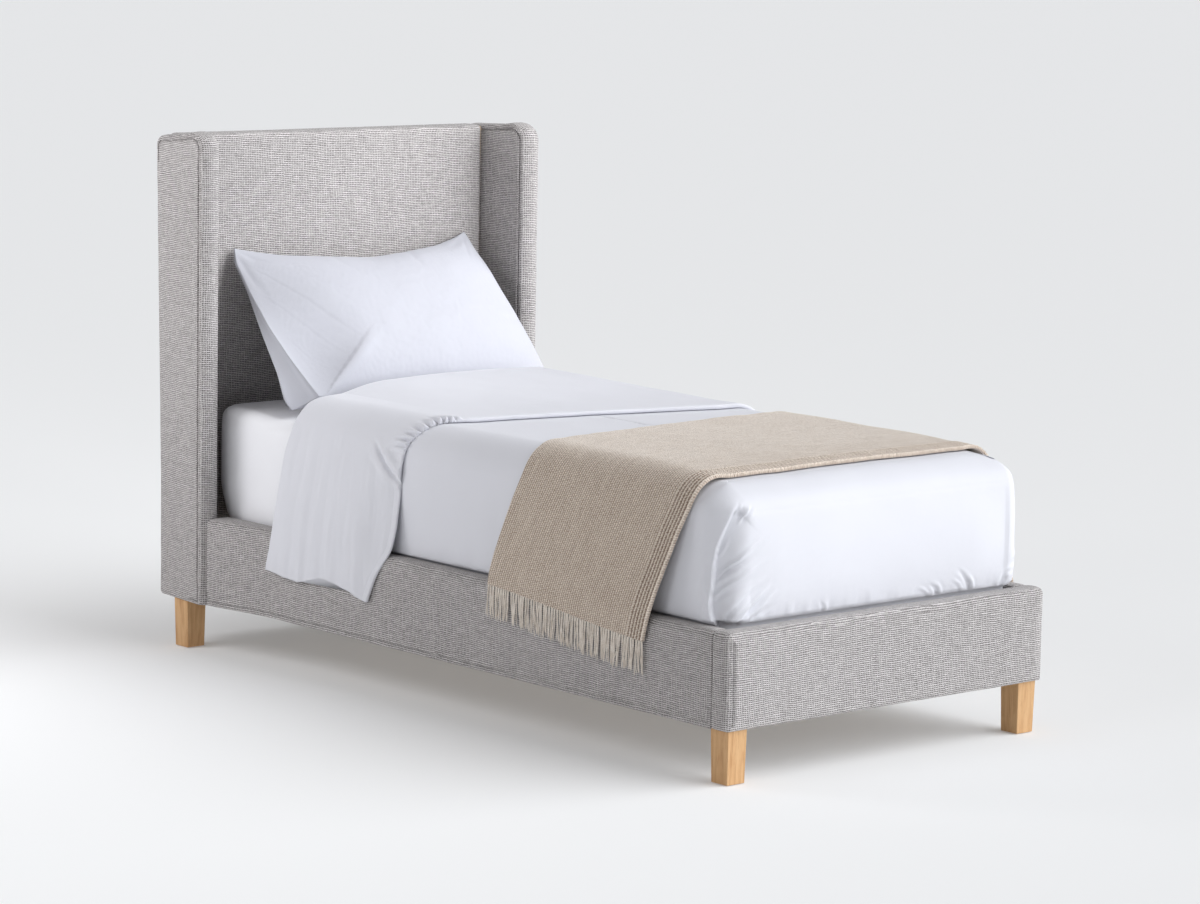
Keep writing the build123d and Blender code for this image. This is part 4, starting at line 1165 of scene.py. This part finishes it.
def frame_of(c, s, q):
    """Points, outward normals of a section at lengths q."""
    x, z = np.interp(q, s, c[:, 0]), np.interp(q, s, c[:, 1])
    e = 0.004
    dx = np.interp(q + e, s, c[:, 0]) - np.interp(q - e, s, c[:, 0])
    dz = np.interp(q + e, s, c[:, 1]) - np.interp(q - e, s, c[:, 1])
    L = np.maximum(np.hypot(dx, dz), 1e-9)
    return np.stack([x, z], -1), np.stack([-dz / L, dx / L], -1)


def build_cuff():
    c, s = section(0.243, 0.480)
    # closer samples over the shoulder, where the hem is gathered
    k0 = s[np.argmin(np.hypot(c[:, 0] + 0.452, c[:, 1] - 0.640))]
    grid = np.linspace(0, s[-1], 4000)
    dens = 1 / np.where(np.abs(grid - k0 - 0.03) < 0.125, 0.0021, 0.0044)
    cum = np.concatenate([[0], np.cumsum((dens[1:] + dens[:-1]) / 2 * np.diff(grid))])
    n = int(cum[-1])
    q = np.interp(np.linspace(0, cum[-1], n), cum, grid)
    q[0], q[-1] = 0.0005, s[-1] - 0.0005
    (xz, nor) = frame_of(c, s, q)
    x, z = xz[:, 0], xz[:, 1]
    # foot-side hem and head-side edge by place along the section (keys: left hem ... right hem)
    left = x < -0.445
    ql = lambda zz: np.interp(zz, z[left], q[left])
    qx = lambda xx: np.interp(xx, x[~left & (x < 0.44)], q[~left & (x < 0.44)])
    kh = [(ql(0.243), .214), (ql(0.262), .205), (ql(0.30), .180), (ql(0.36), .140), (ql(0.42), .134), (ql(0.52), .134), (ql(0.589), .127), (ql(0.622), .120),
          (ql(0.655), .098), (qx(-.40), .070), (qx(-.33), .045), (qx(-.22), .018), (qx(-.10), -.012), (qx(0.10), -.058), (qx(0.32), -.115), (qx(0.43), -.135),
          (q[-1] - 0.10, -.135), (q[-1], -.110)]
    kl = [(ql(0.243), .629), (ql(0.30), .615), (ql(0.36), .604), (ql(0.46), .597), (ql(0.56), .586), (ql(0.617), .573), (ql(0.652), .568), (qx(-.40), .585), (qx(-.33), .603),
          (qx(-.22), .628), (qx(-.05), .650), (qx(.20), .662), (qx(.34), .650), (qx(.42), .620), (q[-1] - 0.12, .585), (q[-1], .580)]
    yh = np.interp(q, *zip(*kh))
    yl = np.interp(q, *zip(*kl))
    even = np.linspace(q[0], q[-1], 500)
    ker = np.ones(9) / 9
    yh = np.interp(q, even, np.convolve(np.pad(np.interp(even, q, yh), 4, mode="edge"), ker, "valid"))
    yl = np.interp(q, even, np.convolve(np.pad(np.interp(even, q, yl), 4, mode="edge"), ker, "valid"))
    # 1 on the top, 0 on the hanging ends
    top = sm(np.abs(x), 0.452, 0.375) * (z > 0.6)
    rise = 0.030 * sm(x, -0.44, -0.16) * sm(x, 0.455, 0.33)
    rise = np.where(z > 0.6, rise, 0)
    NB, NC, NU = 104, 20, 26
    rows = []
    for i in range(n):
        w = top[i]
        th = 0.0085 * (1 - w) + 0.0115 * w
        a0, a1 = yh[i], yl[i]
        # hem
        loop = [(a0 + 0.45 * th - 0.45 * th * math.sin(t) * 1.0, 0.5 * th - 0.5 * th * math.cos(t)) for t in np.linspace(0, math.pi, 9)]
        # upper face
        t = np.linspace(0, 1, NB)
        t = 0.45 * t + 0.55 * t**2.2
        ye = a1 - (0.045 * w + 0.004 * (1 - w))
        yy = a0 + 0.45 * th + (ye - a0 - 0.45 * th) * t[1:]
        nn = th + np.maximum(rise[i] - th, 0) * sm(yy, a0 + 0.14, a1 - 0.10)
        loop += list(zip(yy, nn))
        ntop = float(nn[-1])
        # head-side roll on the top, plain edge on the ends
        depth = 0.0575 * w
        for a in np.linspace(0, 1, NC)[1:]:
            ph = a * math.pi
            rr = (ntop + depth) / 2
            cy = ye
            ryy = 0.045 * w + 0.004 * (1 - w)
            loop.append((cy + ryy * math.sin(ph), ntop - rr + rr * math.cos(ph)))
        # underneath, back to the hem: on the top it goes down behind the duvet's cut end
        yb, yh0 = CUT + 0.0025, a0 + 0.45 * th
        under = []
        for a in np.linspace(0, 1, NU + 1)[1:-1]:
            plain = (ye + (yh0 - ye) * a, 0.0)
            if a < 0.18:
                tucked = (ye + (yb - ye) * a / 0.18, -depth)
            elif a < 0.42:
                tucked = (yb, -depth * (0.42 - a) / 0.24)
            else:
                tucked = (yb + (yh0 - yb) * (a - 0.42) / 0.58, 0.0)
            under.append(tuple(w * p + (1 - w) * r for p, r in zip(tucked, plain)))
        loop += under
        rows.append(loop)
    L = np.array(rows)                      # (n, m, 2): y and height over the section
    m = L.shape[1]
    Y, H = L[..., 0], L[..., 1]
    Q = np.repeat(q[:, None], m, 1)
    X = x[:, None] + nor[:, :1] * H
    Z = z[:, None] + nor[:, 1:] * H
    V = np.stack([X, Y, Z], -1).reshape(-1, 3)
    NN = np.repeat(np.stack([nor[:, 0], np.zeros(n), nor[:, 1]], -1)[:, None], m, 1).reshape(-1, 3)
    upper = (np.arange(m) >= 4) & (np.arange(m) < 9 + NB + NC)
    U = np.repeat(upper[None], n, 0).ravel()
    W = np.repeat(top[:, None], m, 1).ravel()
    q_, y_ = Q.ravel(), V[:, 1]
    a0_ = np.repeat(yh[:, None], m, 1).ravel()
    a1_ = np.repeat(yl[:, None], m, 1).ravel()
    # everything follows the duvet's own top
    lift = np.where(W > 0, top_wave(V[:, 0], V[:, 1]), 0) * W + 0.0016 * W
    out = lift.copy()
    # gathers at the shoulder, along the hem
    qs = k0
    ln = y_ - a0_
    g = sm(q_, qs - 0.055, qs - 0.015) * sm(q_, qs + 0.125, qs + 0.070) * sm(ln, 0.070, 0.014) * U
    phase = (q_ - qs) / 0.0165 - 9.5 * ln + 0.55 * vnoise(np.column_stack([q_ * 22, y_ * 9, y_ * 0]), 7)
    wave = phase - np.floor(phase)
    rip = np.where(wave < 0.62, np.maximum(np.sin(math.pi * wave / 0.62), 0) ** 0.8, -0.55 * np.sin(math.pi * (wave - 0.62) / 0.38))
    out += g * 0.0105 * (rip - 0.30) * (0.55 + 0.45 * sm(ln, 0.050, 0.0))
    g2 = gs(q_ - qs - 0.20, 0.16) * gs(ln, 0.050) * U
    out += g2 * 0.0012 * vnoise(np.column_stack([q_ * 42 - 7 * ln, ln * 6, ln * 0]), 8)
    # fine drape lines that run from the shoulder down the flap
    fl = sm(0.66 - V[:, 2], 0.0, 0.06) * (V[:, 0] < -0.40)
    fan = fbm(np.column_stack([(y_ - 0.36) / (1 + 0.35 * (0.66 - V[:, 2])) * 1.0, np.zeros_like(y_), V[:, 2] * 0.10]), 0.028, 121, 3)
    out += U * fl * 0.0034 * fan * sm(y_, a0_, a0_ + 0.03)
    lines = fbm(np.column_stack([(y_ - 0.30) / (1 + 1.1 * (0.68 - V[:, 2])), np.zeros_like(y_), V[:, 2] * 0.06]), 0.0125, 127, 2)
    out += U * fl * 0.0008 * lines * sm(y_, a0_, a0_ + 0.03)
    out += U * fl * 0.004 * fbm(np.column_stack([y_, y_ * 0, V[:, 2] * 0.5]), 0.16, 125, 2)
    # crease from the shoulder down to the flap's foot-side edge, and the turned edge below it
    q2, face2 = seen(V, NN)
    out += U * strokes(q2, [([(373, 436), (379, 452), (386, 466), (393, 478), (399, 489)], -0.0062, 1.7, 0.35, 0.05),
                            ([(380, 440), (387, 454), (394, 466), (400, 476)], 0.0040, 2.8, 0.4, 0.2),
                            ([(369, 446), (376, 462), (383, 474), (389, 484)], 0.0024, 2.4, 0.4, 0.2)], face2)
    turn = sm(0.275 - y_ - 0.10 * sm(V[:, 2], 0.45, 0.62), 0.0, 0.13) * fl * sm(V[:, 2], 0.61, 0.50)
    out += -turn * 0.018 * sm(V[:, 2], 0.262, 0.42) * U
    back_turn = turn * 0.016 * sm(V[:, 2], 0.262, 0.42) * (~U)
    out -= back_turn
    # a long soft fold in the lower half
    C2 = [(.275, .46), (.262, .40), (.250, .34), (.262, .27)]
    dd, aa = to_line(np.column_stack([y_, V[:, 2]]), C2)
    out += U * fl * 0.006 * gs(dd, 0.030) * sm(aa, 0, 0.5)
    out += U * W * 0.0012 * fbm(V, (0.14, 0.09, 1), 131, 3)
    # the stitched line beside the hem
    out -= 0.0009 * U * gs(y_ - a0_ - 0.020, 0.0022)
    # lower edge of the hanging end: a small wave
    V = V + NN * out[:, None]
    lowz = fl * sm(0.31 - V[:, 2], 0, 0.06)
    V[:, 2] += lowz * (0.006 * np.sin(y_ * 21 + 0.6) + 0.010 * sm(y_, 0.30, 0.22) * -1.0 + 0.012 * sm(np.abs(y_ - 0.40), 0.10, 0.0))
    F = quads(n, m, wrap_cols=True)
    F.append(tuple(range(m)))
    F.append(tuple(range((n - 1) * m, n * m)))
    ob = make("duvet_cuff", V, F, M["white"])
    return ob


# ---- throw and its fringes
HEM_Z = (0.284, 0.346)           # left hem at the foot-side edge and at the head-side edge


def build_throw():
    c, s = section(0.284, 0.284)
    L = s[-1]
    n = int(L / 0.0042)
    rib, nrib, width = 0.0102, 6, 0.5605
    fine_rib = 0.0072
    e = [0.0, 0.0006, 0.0013, 0.0022]
    while e[-1] < rib * nrib + 0.004:
        e.append(e[-1] + rib / 8)
    e += list(np.arange(e[-1] + 0.002, width - 0.005, 0.0018))
    e += [width - 0.0035, width - 0.0022, width - 0.0013, width - 0.0006, width]
    e = np.array(e) / width
    m = len(e)
    # row places: closer at both hems, which are rounded
    t = np.linspace(0, 1, n)
    t = np.sort(np.concatenate([t, np.array([0.0008, 0.0018, 0.0028]) / L, 1 - np.array([0.0008, 0.0018, 0.0028]) / L]))
    n = len(t)
    q0 = (HEM_Z[1] - HEM_Z[0]) * sm(e, -0.3, 1.3) * 1.0
    Q = q0[None] + (L - q0[None]) * t[:, None]
    near = np.interp(Q, [0, 0.10, 0.26, 0.36, 0.8, L - 0.36, L - 0.2, L], [-.798, -.828, -.885, -.918, -.912, -.915, -.925, -.968])
    far = np.interp(Q, [0, 0.10, 0.26, 0.36, 0.55, 0.9, L - 0.36, L - 0.2, L], [-.238, -.252, -.300, -.330, -.308, -.272, -.256, -.265, -.330])
    k = np.ones(21) / 21
    for arr in (near, far):
        for j in range(m):
            arr[:, j] = np.convolve(np.pad(arr[:, j], 10, mode="reflect", reflect_type="odd"), k, "valid")
    Y = near + (far - near) * e[None]
    W = (Y - near)
    qf = Q.ravel()
    xz, nor = frame_of(c, s, qf)
    x, z = xz.T
    y = Y.ravel()
    sgn = np.sign(x)
    flat = sm(np.abs(x), 0.47, 0.36) * (z > 0.6)
    P0 = np.column_stack([x, y, z])
    drape = np.abs(fbm(np.column_stack([y, z * 0.22, sgn * 2]), 0.13, 141, 2)) * (1 - flat)
    base = 0.0034 + top_wave(x, y) * flat + 0.0040 * drape + 0.0030 * sm(z, 0.60, 0.66) * (1 - flat)
    w = W.ravel()
    bd = sm(rib * nrib - w, -0.001, 0.003)
    ph = w / rib
    fl = np.floor(ph)
    tw = 0.5 + 0.5 * np.sin(2 * math.pi * (qf / 0.012 + 0.5 * fl + 0.15 * (ph - fl)))
    ribs = bd * (0.0050 * np.sqrt(np.maximum(0, 1 - (2 * (ph - fl) - 1) ** 2)) * (0.60 + 0.40 * tw) - 0.0012)
    pf = w / fine_rib
    knots = 0.5 + 0.5 * np.sin(2 * math.pi * (qf / 0.0168 + 0.37 * np.floor(pf)))
    slub = 0.80 + 0.35 * vnoise(np.column_stack([np.floor(pf) * 3.7, qf * 45, qf * 0]), 17)
    ribs = ribs + (1 - bd) * 0.0014 * (np.sin(math.pi * (pf - np.floor(pf))) ** 0.9 - 0.6) * (0.88 + 0.12 * knots) * slub
    soft = 0.0005 * fbm(P0, 0.03, 151, 2)
    full = (far - near).ravel()
    rn = np.clip(np.minimum(w, full - w) / 0.0030, 0, 1)
    rh = np.clip(np.minimum(qf - np.repeat(q0[None], n, 0).ravel(), L - qf) / 0.0032, 0, 1)
    rnd = np.sqrt(1 - (1 - rn) ** 2) * np.sqrt(1 - (1 - rh) ** 2)
    T = 0.0060
    N3 = np.column_stack([nor[:, 0], np.zeros(len(x)), nor[:, 1]])
    mid = base + T / 2
    A = P0 + N3 * (mid + (T / 2 + ribs + soft) * rnd)[:, None]
    B = P0 + N3 * (mid - T / 2 * rnd)[:, None]
    uv = np.column_stack([w, qf])
    ob = make("throw_cloth", np.concatenate([A, B]), quads(n, m) + quads(n, m, start=n * m, flip=True), M["throw"], uv=np.concatenate([uv, uv]))
    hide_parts("throw")
    MID = (P0 + N3 * mid[:, None]).reshape(n, m, 3)
    return ob, MID[0], MID[-1]


def build_fringe(name, line, sgn, seed, node):
    """Bunches of loose yarns below a hem line (points in order along it)."""
    rng = np.random.default_rng(seed)
    seg = np.concatenate([[0], np.cumsum(np.linalg.norm(np.diff(line, axis=0), axis=1))])
    nb = int(seg[-1] / 0.0092)
    V, F, sides, steps = [], [], 6, 14
    for b in range(nb):
        at = (b + 0.5 + rng.uniform(-0.12, 0.12)) / nb * seg[-1]
        p = np.array([np.interp(at, seg, line[:, k]) for k in range(3)])
        lean, sway = rng.normal(0, 0.004), rng.uniform(0, 6.28)
        for j in range(3):
            off = (j - 1) * 0.0026 + rng.normal(0, 0.0004)
            ln = 0.074 + rng.normal(0, 0.0035)
            own, ph, amp = rng.normal(0, 0.0036), rng.uniform(0, 6.28), rng.uniform(0.0006, 0.0020)
            depth = rng.uniform(-0.0006, 0.0014) + 0.0008 * (j == 1)
            t = np.linspace(0, 1, steps)
            yy = p[1] + off * (0.65 + 0.45 * t) + (lean + own) * t**1.4 + amp * np.sin(t * 7 + ph) * t
            xx = p[0] + sgn * (depth * sm(t, 0, 0.4) + 0.0009 * np.sin(t * 5 + sway) * t)
            zz = p[2] + 0.004 - (ln + 0.004) * t
            r = 0.00142 * (1 - 0.25 * t) * np.where(t > 0.96, 0.55, 1.0) * (1 + 0.12 * np.sin(t * 40 + ph))
            ang = np.linspace(0, 2 * math.pi, sides, endpoint=False)
            start = len(V) and sum(len(v) for v in V)
            ring_ = np.stack([xx[:, None] + r[:, None] * np.cos(ang), yy[:, None] + r[:, None] * np.sin(ang), np.repeat(zz[:, None], sides, 1)], -1)
            V.append(ring_.reshape(-1, 3))
            F += quads(steps, sides, wrap_cols=True, start=start)
            F.append(tuple(start + i for i in range(sides))[::-1])
            F.append(tuple(start + (steps - 1) * sides + i for i in range(sides)))
    ob = make(name, np.concatenate(V), F, M["yarn"])
    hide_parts(node)
    return ob


# ---- pillow
PIL_C, PIL_TILT = np.array([-0.008, 0.815, 0.834]), math.radians(38)


def build_pillow():
    ov = np.array([(-.398, -.243), (-.406, -.215), (-.393, -.136), (-.391, -.017), (-.385, .103), (-.388, .190), (-.372, .234)])
    hem = np.array([(-.336, -.236), (-.352, -.165), (-.366, -.110), (-.381, -.020), (-.386, .090), (-.386, .190), (-.372, .234)])
    top = np.array([(-.372, .234), (-.330, .224), (-.236, .206), (-.078, .191), (.041, .181), (.152, .190), (.277, .206), (.350, .226), (.392, .243)])
    rgt = np.array([(.440, -.245), (.452, -.200), (.450, -.140), (.437, -.023), (.424, .063), (.419, .114), (.402, .185), (.392, .243)])
    bot = np.array([(-.398, -.243), (-.30, -.238), (-.10, -.232), (.12, -.232), (.33, -.240), (.440, -.245)])

    def par(line, t):
        d = np.concatenate([[0], np.cumsum(np.linalg.norm(np.diff(line, axis=0), axis=1))])
        p = np.stack([np.interp(t * d[-1], d, line[:, k]) for k in (0, 1)], -1)
        kk = np.ones(7) / 7
        e = np.pad(p, ((3, 3), (0, 0)), mode="reflect", reflect_type="odd")
        return np.stack([np.convolve(e[:, k], kk, "valid") for k in (0, 1)], -1)

    nr, nsf = 104, 168
    r = (1 - np.cos(np.linspace(0, math.pi, nr))) / 2 * 0.5 + np.linspace(0, 1, nr) * 0.5
    s = (1 - np.cos(np.linspace(0, math.pi, nsf))) / 2 * 0.5 + np.linspace(0, 1, nsf) * 0.5

    def coons(left):
        Lc, Rc, Tc, Bc = par(left, r), par(rgt, r), par(top, s), par(bot, s)
        Bc = Bc + (1 - s)[:, None] * (Lc[0] - Bc[0]) + s[:, None] * (Rc[0] - Bc[-1])
        Tc = Tc + (1 - s)[:, None] * (Lc[-1] - Tc[0]) + s[:, None] * (Rc[-1] - Tc[-1])
        S, Rr = s[None, :, None], r[:, None, None]
        return ((1 - S) * Lc[:, None] + S * Rc[:, None] + (1 - Rr) * Bc[None] + Rr * Tc[None]
                - (1 - S) * (1 - Rr) * Lc[0] - S * (1 - Rr) * Rc[0] - (1 - S) * Rr * Lc[-1] - S * Rr * Rc[-1])

    F2, B2 = coons(hem), coons(ov)
    f = lambda x, p=3.0, g=0.80: np.maximum(0, 1 - np.abs(2 * x - 1) ** p) ** g
    fr, fs = f(r, 2.6, 0.72)[:, None], f(s, 3.2, 0.75)[None]
    # front: the open end on the left stays thick towards the bottom
    open_n = (0.003 + 0.036 * sm(1 - r, 0.05, 0.95))[:, None]
    leftw = np.exp(-s / 0.16)[None]
    nF = 0.078 * fr * fs * (1 - 0.5 * leftw) + open_n * leftw * (0.55 + 0.45 * (r < 2)[:, None])
    nB = -0.060 * fr * fs - 0.010 * sm(1 - r, 0.05, 0.95)[:, None] * leftw
    U, Vv = F2[..., 0], F2[..., 1]
    # the fold that runs up from the lower left
    fold = [(-.346, -.262), (-.297, -.236), (-.235, -.190), (-.182, -.150), (-.128, -.108), (-.078, -.066)]
    P = np.column_stack([U.ravel(), Vv.ravel()])
    d, at = to_line(P, fold)
    sdv = (P - np.array(fold[0])) @ np.array([-0.64, 0.77])
    sgn = np.where(sdv > 0, 1.0, -1.0)
    fade = sm(at, 1.02, 0.50)
    rid = np.where(sgn > 0, np.exp(-d / 0.040), np.exp(-(d / 0.022) ** 2)) * fade
    dip = -(1 - np.exp(-(d / 0.052) ** 1.35)) * np.exp(-((d / 0.24) ** 2)) * (sgn > 0) * sm(at, 1.02, 0.30)
    detail = 0.0135 * rid + 0.058 * dip
    # creases from the corners
    for pts, amp, wd in [([(.385, .235), (.36, .19), (.335, .13)], -.0045, .008), ([(.375, .225), (.325, .195), (.27, .17)], -.0035, .008), ([(.392, .20), (.40, .15), (.395, .08)], -.0030, .007),
                         ([(-.365, .225), (-.33, .19), (-.28, .17)], -.0030, .008), ([(-.375, .20), (-.365, .13), (-.345, .06)], -.0030, .008),
                         ([(-.10, .185), (-.09, .15), (-.06, .10)], -.0018, .012), ([(.16, .185), (.15, .14), (.16, .09)], -.0018, .012),
                         ([(.43, -.05), (.38, -.06), (.31, -.05)], -.0022, .012), ([(.44, -.14), (.39, -.13), (.31, -.13)], -.0022, .012)]:
        dd, aa = to_line(P, pts)
        detail += amp * (gs(dd, wd) - 0.5 * gs(dd - 2 * wd, 1.3 * wd)) * sm(aa, 1.0, 0.2)
    detail += 0.0045 * fbm(np.column_stack([P, P[:, 0] * 0]), (0.20, 0.15, 1), 161, 2) + 0.0010 * fbm(np.column_stack([P, P[:, 0] * 0]), (0.05, 0.035, 1), 165, 2)
    seamw = (fr * fs).ravel() ** 0.5
    nF = nF + (detail * np.maximum(seamw, 0.15)).reshape(nF.shape)
    Pb = np.column_stack([B2[..., 0].ravel(), B2[..., 1].ravel(), np.zeros(B2[..., 0].size)])
    nB = nB + (0.004 * fbm(Pb, (0.18, 0.14, 1), 171, 2) * seamw).reshape(nB.shape)
    # loops: front from the hem to the right seam, back to the left edge, then the inside of the open end
    rows = []
    nb = 9
    for i in range(nr):
        Fr = np.column_stack([F2[i], nF[i]])
        Bk = np.column_stack([B2[i], nB[i]])[::-1]
        Bk[0] = Fr[-1]
        a, b = Bk[-1], Fr[0]
        tt = np.linspace(0, 1, nb + 1)[1:]
        gap = np.linalg.norm(b - a)
        band = a + (b - a) * tt[:, None]
        band[:, 2] -= 0.16 * gap * np.sin(math.pi * np.clip(tt * 1.05, 0, 1))
        lip = b + np.array([0.0004, 0, -min(0.0030, gap * 0.3)])
        band[-1] = lip
        rows.append(np.concatenate([Fr, Bk[1:], band]))
    G = np.array(rows)
    m = G.shape[1]
    u, v, nn = G.reshape(-1, 3).T
    Vd, Nd = np.array([0, math.sin(PIL_TILT), math.cos(PIL_TILT)]), np.array([0, -math.cos(PIL_TILT), math.sin(PIL_TILT)])
    W = PIL_C + u[:, None] * np.array([1, 0, 0]) + v[:, None] * Vd + nn[:, None] * Nd
    # the top leans back onto the headboard
    W = W + (0.036 * sm(v, -0.06, 0.25))[:, None] * np.array([0.62, 0.77, -0.14])
    W[:, 1] = np.minimum(W[:, 1], 0.9945)
    F = quads(nr, m, wrap_cols=True)
    F.append(tuple(range(m)))
    F.append(tuple(range((nr - 1) * m, nr * m)))
    ob = make("pillow_case", W, F, M["pillow"])
    # how firmly the simulation holds each point: seams, hem and back firmly, the middle of the front loosely
    hold_r = sm(np.minimum(np.arange(nr), nr - 1 - np.arange(nr)) / 14.0, 0, 1)
    cc = np.arange(m)
    hold_s = sm(np.minimum(cc, nsf - 1 - cc) / 16.0, 0, 1) * (cc < nsf)
    loose = (hold_r[:, None] * hold_s[None]).ravel()
    bm = bmesh.new()
    bm.from_mesh(ob.data)
    bmesh.ops.triangulate(bm, faces=[f for f in bm.faces if len(f.verts) > 4])
    bm.to_mesh(ob.data)
    bm.free()
    settle(ob, W, 1.0 - 0.72 * loose, pressure=2.6, grow=-0.0022, frames=12, cap=0.006)
    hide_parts("pillow")
    return ob


mattress = build_mattress()
sheet_ob = build_sheet()
duvet = build_duvet()
cuff = build_cuff()
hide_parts("duvet")
throw, hem_left, hem_right = build_throw()
fringe_left = build_fringe("throw_fringe_yarns_left", hem_left, -1, 5, "throw_fringe_left")
fringe_right = build_fringe("throw_fringe_yarns_right", hem_right, 1, 6, "throw_fringe_right")
pillow = build_pillow()

for ob, body, slot in ((mattress, "mattress_set", "mattress_ticking"), (sheet_ob, "mattress_set", "white_cotton"), (duvet, "mattress_set", "duvet_cotton"),
                       (cuff, "mattress_set", "duvet_cotton"), (throw, "throw", "throw_weave"), (fringe_left, "throw", "throw_weave"),
                       (fringe_right, "throw", "throw_weave"), (pillow, "pillow", "pillow_cotton")):
    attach(ob, body)

# ------------------------------------------------------------------ kept CAD pieces
KEPT = {
    "leg": ["front_left_leg", "front_right_leg", "rear_left_leg", "rear_right_leg"],
    "timber_x": ["slats", "foot_board", "headboard_batten_top", "headboard_batten_middle", "headboard_batten_bottom", "headboard_board"],
    "timber_y": ["slat_ledge_left", "slat_ledge_right", "left_rail_board", "right_rail_board", "head_cleats"],
    "timber_z": ["headboard_stile_left", "headboard_stile_right", "left_wing_board", "right_wing_board"],
    "steel": ["foot_corner_brackets", "head_joining_plates", "joining_bolts", "wing_bolts", "leg_hanger_bolts", "threaded_inserts", "ledge_screws", "slat_screws"],
    "web": ["slat_straps"],
    "plastic": ["leg_glides"],
}
for m, names in KEPT.items():
    for n in names:
        ob = NODES[n]
        ob.data.materials.clear()
        ob.data.materials.append(M[m])

# ------------------------------------------------------------------ floor, light, camera
floor_mesh = bpy.data.meshes.new("floor")
floor_mesh.from_pydata([(-120, -120, 0), (120, -120, 0), (120, 120, 0), (-120, 120, 0)], [], [(0, 1, 2, 3)])
floor = bpy.data.objects.new("floor", floor_mesh)
bpy.context.scene.collection.objects.link(floor)
ft = Tree("floor_paint")
ft.set(color=(0.73, 0.735, 0.742), rough=0.9, spec=0.0)
ft.bsdf.inputs["Emission Color"].default_value = (1.0, 1.0, 1.0, 1.0)
ft.bsdf.inputs["Emission Strength"].default_value = 0.165
floor_mesh.materials.append(ft.m)


def lamp(name, kind, place, aim, energy, color, size):
    """A sun (size in radians, place is its direction) or a round area lamp (size in metres)."""
    data = bpy.data.lights.new(name, kind)
    data.energy, data.color = energy, color
    if kind == "SUN":
        data.angle = size
    elif kind == "SPOT":
        data.shadow_soft_size, data.spot_size, data.spot_blend = size, math.radians(30), 1.0
    else:
        data.shape, data.size = "DISK", size
    ob = bpy.data.objects.new(name, data)
    ob.location = place if kind != "SUN" else (0, 0, 3)
    ob.rotation_mode = "QUATERNION"
    ob.rotation_quaternion = (Vector(place) - Vector(aim)).to_track_quat("Z", "Y")
    bpy.context.scene.collection.objects.link(ob)
    return ob


lamp("key", "SUN", (0.60, -0.635, 0.475), (0, 0, 0), 4.2, (0.965, 0.98, 1.0), math.radians(75))
lamp("fill", "AREA", (-2.0, 1.5, 1.6), (-0.5, 0.9, 0.9), 20.0, (1.0, 0.99, 1.0), 1.2)
lamp("left", "AREA", (-6.2, -0.7, 3.3), (-0.5, 0.2, 0.5), 46.0, (1.0, 0.99, 0.99), 3.0)
lamp("head", "SPOT", (0.20, -2.60, 1.95), (0.33, 1.0, 1.26), 205.0, (1.0, 0.995, 1.0), 0.35)

world = bpy.data.worlds.new("studio")
bpy.context.scene.world = world
world.use_nodes = True
wt = world.node_tree
wt.nodes.clear()
wo = wt.nodes.new("ShaderNodeOutputWorld")
wb = wt.nodes.new("ShaderNodeBackground")
wb.inputs[0].default_value = (1.0, 0.99, 0.985, 1)
wb.inputs[1].default_value = 0.22
wt.links.new(wb.outputs[0], wo.inputs[0])

cam_data = bpy.data.cameras.new("camera")
cam_data.sensor_fit = "HORIZONTAL"
cam_data.sensor_width = 36.0
cam_data.lens = FOCAL / 1200 * 36.0
cam_data.clip_start, cam_data.clip_end = 0.1, 400
cam = bpy.data.objects.new("camera", cam_data)
cam.rotation_mode = "QUATERNION"
cam.location = EYE
cam.rotation_quaternion = Matrix((RIGHT, UP, BACK)).transposed().to_quaternion()
bpy.context.scene.collection.objects.link(cam)
bpy.context.scene.camera = cam
bpy.context.scene.view_settings.view_transform = "Standard"
bpy.context.scene.view_settings.look = "None"
